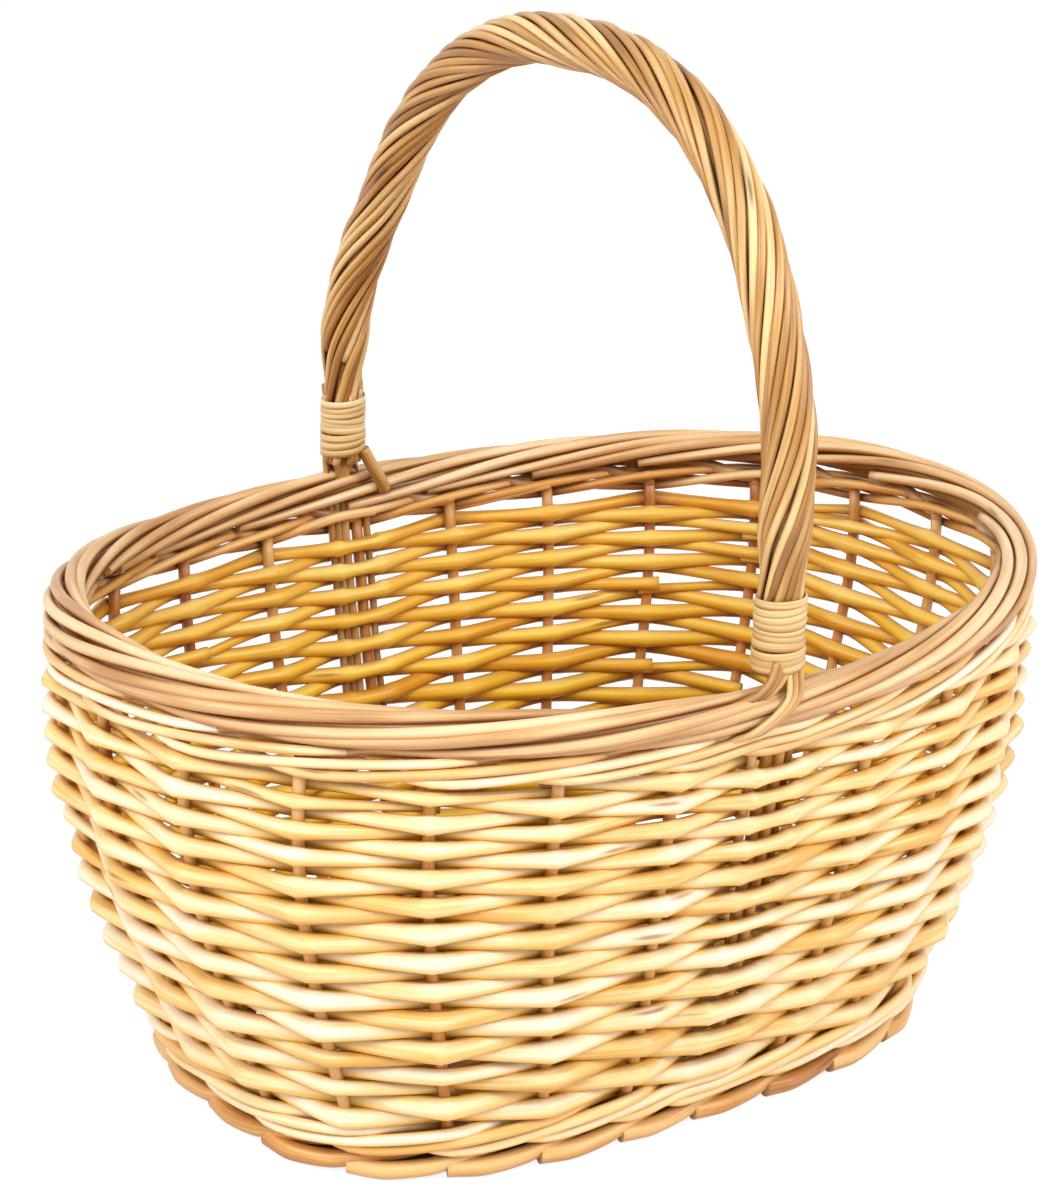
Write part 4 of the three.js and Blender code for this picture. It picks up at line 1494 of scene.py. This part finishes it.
@dataclass
class FootRods:
    """Rods of the handle that leave the bindings, pass the border and stand in the wall beside the stake."""

    materials: Materials
    form: HandleForm = field(default_factory=HandleForm)
    feet: tuple[Foot, ...] = (
        Foot("front", 0, 1.0, (
            WallTail(-0.0129, 0.070, 0.0019, -34.0), WallTail(-0.0062, 0.112, 0.0024, -6.0),
            WallTail(0.0050, 0.084, 0.0017, 48.0)), (
            Crossing((
                (0.0036, 0.0072, 0.2160), (0.0044, 0.0084, 0.2085), (0.0034, 0.0098, 0.2010),
                (-0.0030, 0.0108, 0.1955), (-0.0115, 0.0098, 0.1895), (-0.0165, 0.0040, 0.1850)), 0.00125, 3),
            Crossing((
                (-0.0010, 0.0074, 0.2150), (-0.0036, 0.0080, 0.2085), (-0.0085, 0.0074, 0.2035),
                (-0.0135, 0.0040, 0.2000), (-0.0175, 0.0005, 0.1975)), 0.0016, 3))),
        Foot("back", WALL.stakes // 2, -1.0, (
            WallTail(-0.0130, 0.104, 0.0016, -70.0), WallTail(-0.0097, 0.112, 0.0016, -36.0),
            WallTail(-0.0060, 0.112, 0.0021, -4.0), WallTail(0.0050, 0.098, 0.0017, 50.0)), (
            Crossing((
                (0.0060, -0.0070, 0.2150), (0.0095, -0.0086, 0.2080), (0.0135, -0.0096, 0.2010),
                (0.0165, -0.0086, 0.1955)), 0.0029),)))
    crossing_step: float = 0.0030
    crossing_spread: float = 0.85
    # Painted crevice shade on the crossing rods and the rods in the wall, deeper beside the binding
    crossing_lay: Lay = Lay(5, 0.9, 0.8, 0.1)
    creep: float = 0.4
    border_depth: float = 0.0060
    tail_rise: float = 0.0090
    tail_tuck: float = 0.5
    tail_narrowing: float = 0.9
    tail_shade: Range = (0.3, 0.7)
    leaning: tuple[float, ...] = (0.4, 0.7, 1.0)
    sway: Waver = Waver(0.0005, 40.0)
    sway_seeds: float = 900.0
    steps: int = 14

    def tail(self, tail: WallTail, foot: Foot) -> Rod:
        """Leads a rod out of the wall up to the binding.

        Args:
            tail: Which rod.
            foot: Which foot's.

        Returns:
            The rod.
        """
        rod = Rod(reference=ACROSS_HANDLE, creep=self.creep)
        top = WALL.rim_height - self.border_depth
        wall_shade, binding_shade = self.tail_shade
        for step in range(self.steps + 1):
            height = mix(WALL.rim_height - tail.depth, top, step / self.steps)
            sway = self.sway.at(tail.along * self.sway_seeds, height)
            outward = WALL.outward(foot.station, height / WALL.rim_height)
            place = WALL.point(foot.station, height, 0.0, foot.mirror * tail.along + sway)
            rod.add(place, tail.radius, outward, outward, wall_shade)
        outward = WALL.outward(foot.station, 1.0)
        angle = math.radians(tail.fan)
        out = outward * math.cos(angle) + UP.cross(outward) * math.sin(angle) * foot.mirror
        for share in self.leaning:
            height = mix(top, self.form.foot + self.tail_rise, share)
            beside_leg = self.form.leg(height, -foot.mirror)
            beside_leg += out * (self.form.waist_diameter / 2 - tail.radius * self.tail_tuck)
            straight = WALL.point(foot.station, height, 0.0, foot.mirror * tail.along)
            radius = tail.radius * mix(1.0, self.tail_narrowing, share)
            rod.add(straight.lerp(beside_leg, smooth(share)), radius, Vector(), out, binding_shade)
        return rod

    def crossing(self, crossing: Crossing, foot: Foot, shift: float) -> Rod:
        """Leads a thin rod from the binding over the border.

        Args:
            crossing: Which rods it belongs to.
            foot: Which foot's.
            shift: How far along it lies from the path.

        Returns:
            The rod.
        """
        knots = []
        for i, (along, out, height) in enumerate(crossing.path):
            along = foot.mirror * (self.form.tail_along + along)
            along += shift * mix(self.crossing_spread, 1.0, i / len(crossing.path))
            place = WALL.point(foot.station, min(height, WALL.rim_height), out, along)
            place.z = height
            knots.append(Knot(place, crossing.radius, Vector(), 1.0))
        rod = self.crossing_lay.lead(knots)
        rod.creep = self.creep
        opening = WALL.outward(foot.station, 1.0) * foot.mirror
        rod.points = [replace(point, opening=opening) for point in rod.points]
        return rod

    def build(self) -> None:
        """Builds the rods of both feet."""
        for foot in self.feet:
            work = RodWork(f"{foot.name}_wall_rods", sides=10)
            for tail in foot.tails:
                work.sweep(self.tail(tail, foot))
            for crossing in foot.crossings:
                for index in range(crossing.count):
                    work.sweep(self.crossing(crossing, foot, -index * self.crossing_step))
            work.finish(self.materials, Wood.HANDLE, [f"{foot.name}_liner_{i}" for i in (1, 2)])


@dataclass(frozen=True)
class Lamp:
    """A square lamp: its name, where it hangs, its side length and its watts."""

    name: str
    place: Place
    size: float
    power: float


@dataclass(frozen=True)
class Studio:
    """Plain pale floor, soft light and the photograph's camera."""

    azimuth: float = -35.64
    elevation: float = 19.67
    distance: float = 1.44556
    roll: float = 1.438
    target: Place = (-0.018453, -0.003628, 0.193596)
    focal_pixels: float = 3574.8
    image_height: int = 1200
    sensor: float = 36.0
    lamps: tuple[Lamp, ...] = (
        Lamp("left", (-1.85, 0.15, 1.25), 0.8, 18.0), Lamp("right", (0.95, -1.65, 1.25), 0.8, 19.0),
        Lamp("front", (-0.95, -1.25, 1.7), 0.9, 19.0), Lamp("top", (0.1, 0.2, 2.0), 0.9, 2.0))
    lamp_target: Place = (0.0, 0.0, 0.15)
    sky_light: float = 0.5
    sky_seen: float = 1.0
    floor_size: float = 4.0
    floor_grey: float = 0.9
    floor_glow: float = 1.17
    floor_glow_share: float = 0.75

    def camera(self) -> None:
        """Makes the camera at the photograph's viewpoint."""
        az, el, roll = (math.radians(v) for v in (self.azimuth, self.elevation, self.roll))
        back = Vector((math.sin(az) * math.cos(el), -math.cos(az) * math.cos(el), math.sin(el)))
        right = Vector((math.cos(az), math.sin(az), 0.0))
        up = back.cross(right)
        turned = math.cos(roll) * right + math.sin(roll) * up
        upright = math.cos(roll) * up - math.sin(roll) * right
        place = Vector(self.target) + back * self.distance
        data = bpy.data.cameras.new("camera")
        data.sensor_width = self.sensor
        data.lens = self.focal_pixels / self.image_height * self.sensor
        seat = link_object("camera", data)
        columns = (turned, upright, back, place)
        seat.matrix_world = Matrix([[column[row] for column in columns] for row in range(3)] + [[0, 0, 0, 1]])
        bpy.context.scene.camera = seat

    def hang(self, lamp: Lamp) -> None:
        """Adds a lamp that looks at the basket.

        Args:
            lamp: Which lamp.
        """
        data = bpy.data.lights.new(lamp.name, "AREA")
        data.size = lamp.size
        data.energy = lamp.power
        place = Vector(lamp.place)
        seat = link_object(lamp.name, data)
        seat.location = place
        seat.rotation_euler = (Vector(self.lamp_target) - place).to_track_quat("-Z", "Y").to_euler()

    @staticmethod
    def seen_rays(tree: bpy.types.NodeTree) -> bpy.types.NodeSocket:
        """Tells the rays that show a surface from those that only gather light.

        Args:
            tree: The node tree that gets the nodes.

        Returns:
            A socket that is 1 for camera, glossy and transmission rays and 0 for the rest.
        """
        path = add_node(tree, "ShaderNodeLightPath")
        seen = path.outputs["Is Camera Ray"]
        for kind in ("Is Glossy Ray", "Is Transmission Ray"):
            both = add_node(tree, "ShaderNodeMath", {0: seen, 1: path.outputs[kind]}, operation="MAXIMUM")
            seen = both.outputs[0]
        return seen

    def world(self) -> None:
        """Makes a white world that is brighter to look at than it shines."""
        world = bpy.data.worlds.new("studio")
        world.use_nodes = True
        tree = world.node_tree
        tree.nodes.clear()
        strength = add_node(tree, "ShaderNodeMapRange", {
            0: self.seen_rays(tree), 3: self.sky_light, 4: self.sky_seen})
        sky = add_node(tree, "ShaderNodeBackground", {"Color": (1, 1, 1, 1), "Strength": strength})
        add_node(tree, "ShaderNodeOutputWorld", {0: sky})
        bpy.context.scene.world = world

    def floor(self) -> None:
        """Makes the white floor, which shows a soft shadow."""
        shape = bmesh.new()
        bmesh.ops.create_grid(shape, x_segments=1, y_segments=1, size=self.floor_size)
        mesh = bpy.data.meshes.new("floor")
        shape.to_mesh(mesh)
        shape.free()
        material, tree = blank_material("White Paper Floor")
        glow_share = add_node(tree, "ShaderNodeMath", {0: self.seen_rays(tree), 1: self.floor_glow_share},
                              operation="MULTIPLY")
        paper = add_node(tree, "ShaderNodeBsdfDiffuse", {"Color": (*[self.floor_grey] * 3, 1.0)})
        glow = add_node(tree, "ShaderNodeEmission", {"Color": (1, 1, 1, 1), "Strength": self.floor_glow})
        blend = add_node(tree, "ShaderNodeMixShader", {0: glow_share, 1: paper, 2: glow})
        add_node(tree, "ShaderNodeOutputMaterial", {0: blend})
        mesh.materials.append(material)
        link_object("floor", mesh)

    def build(self) -> None:
        """Builds the camera, the light and the floor."""
        self.camera()
        for lamp in self.lamps:
            self.hang(lamp)
        self.world()
        self.floor()


def main() -> None:
    """Builds the studio and the basket and notes the sizes of the CAD and visual models."""
    logging.basicConfig(level=logging.INFO, format="%(name)s: %(message)s")
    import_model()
    bpy.context.scene.view_settings.view_transform = "Standard"
    Studio().build()
    cut = CutWillow().material()
    peeled, pale, buff, golden, varnished, aged, skein = (
        [finish.material(), cut] for finish in (PEELED, PALE, BUFF, GOLDEN, VARNISHED, AGED, SKEIN))
    SideWeave(peeled).build()
    Wale(peeled, "lower_wale", Wood.SIDE, middle=0.0180, radius=0.0024).build()
    Wale(pale, "upper_wale", Wood.PALE, middle=0.1818, radius=0.0020).build()
    StakesAndBorder(golden, buff).build()
    FootBorder(golden).build()
    Base(aged).build()
    Handle(varnished, skein).build()
    FootRods(varnished).build()


if __name__ == "__main__":
    main()
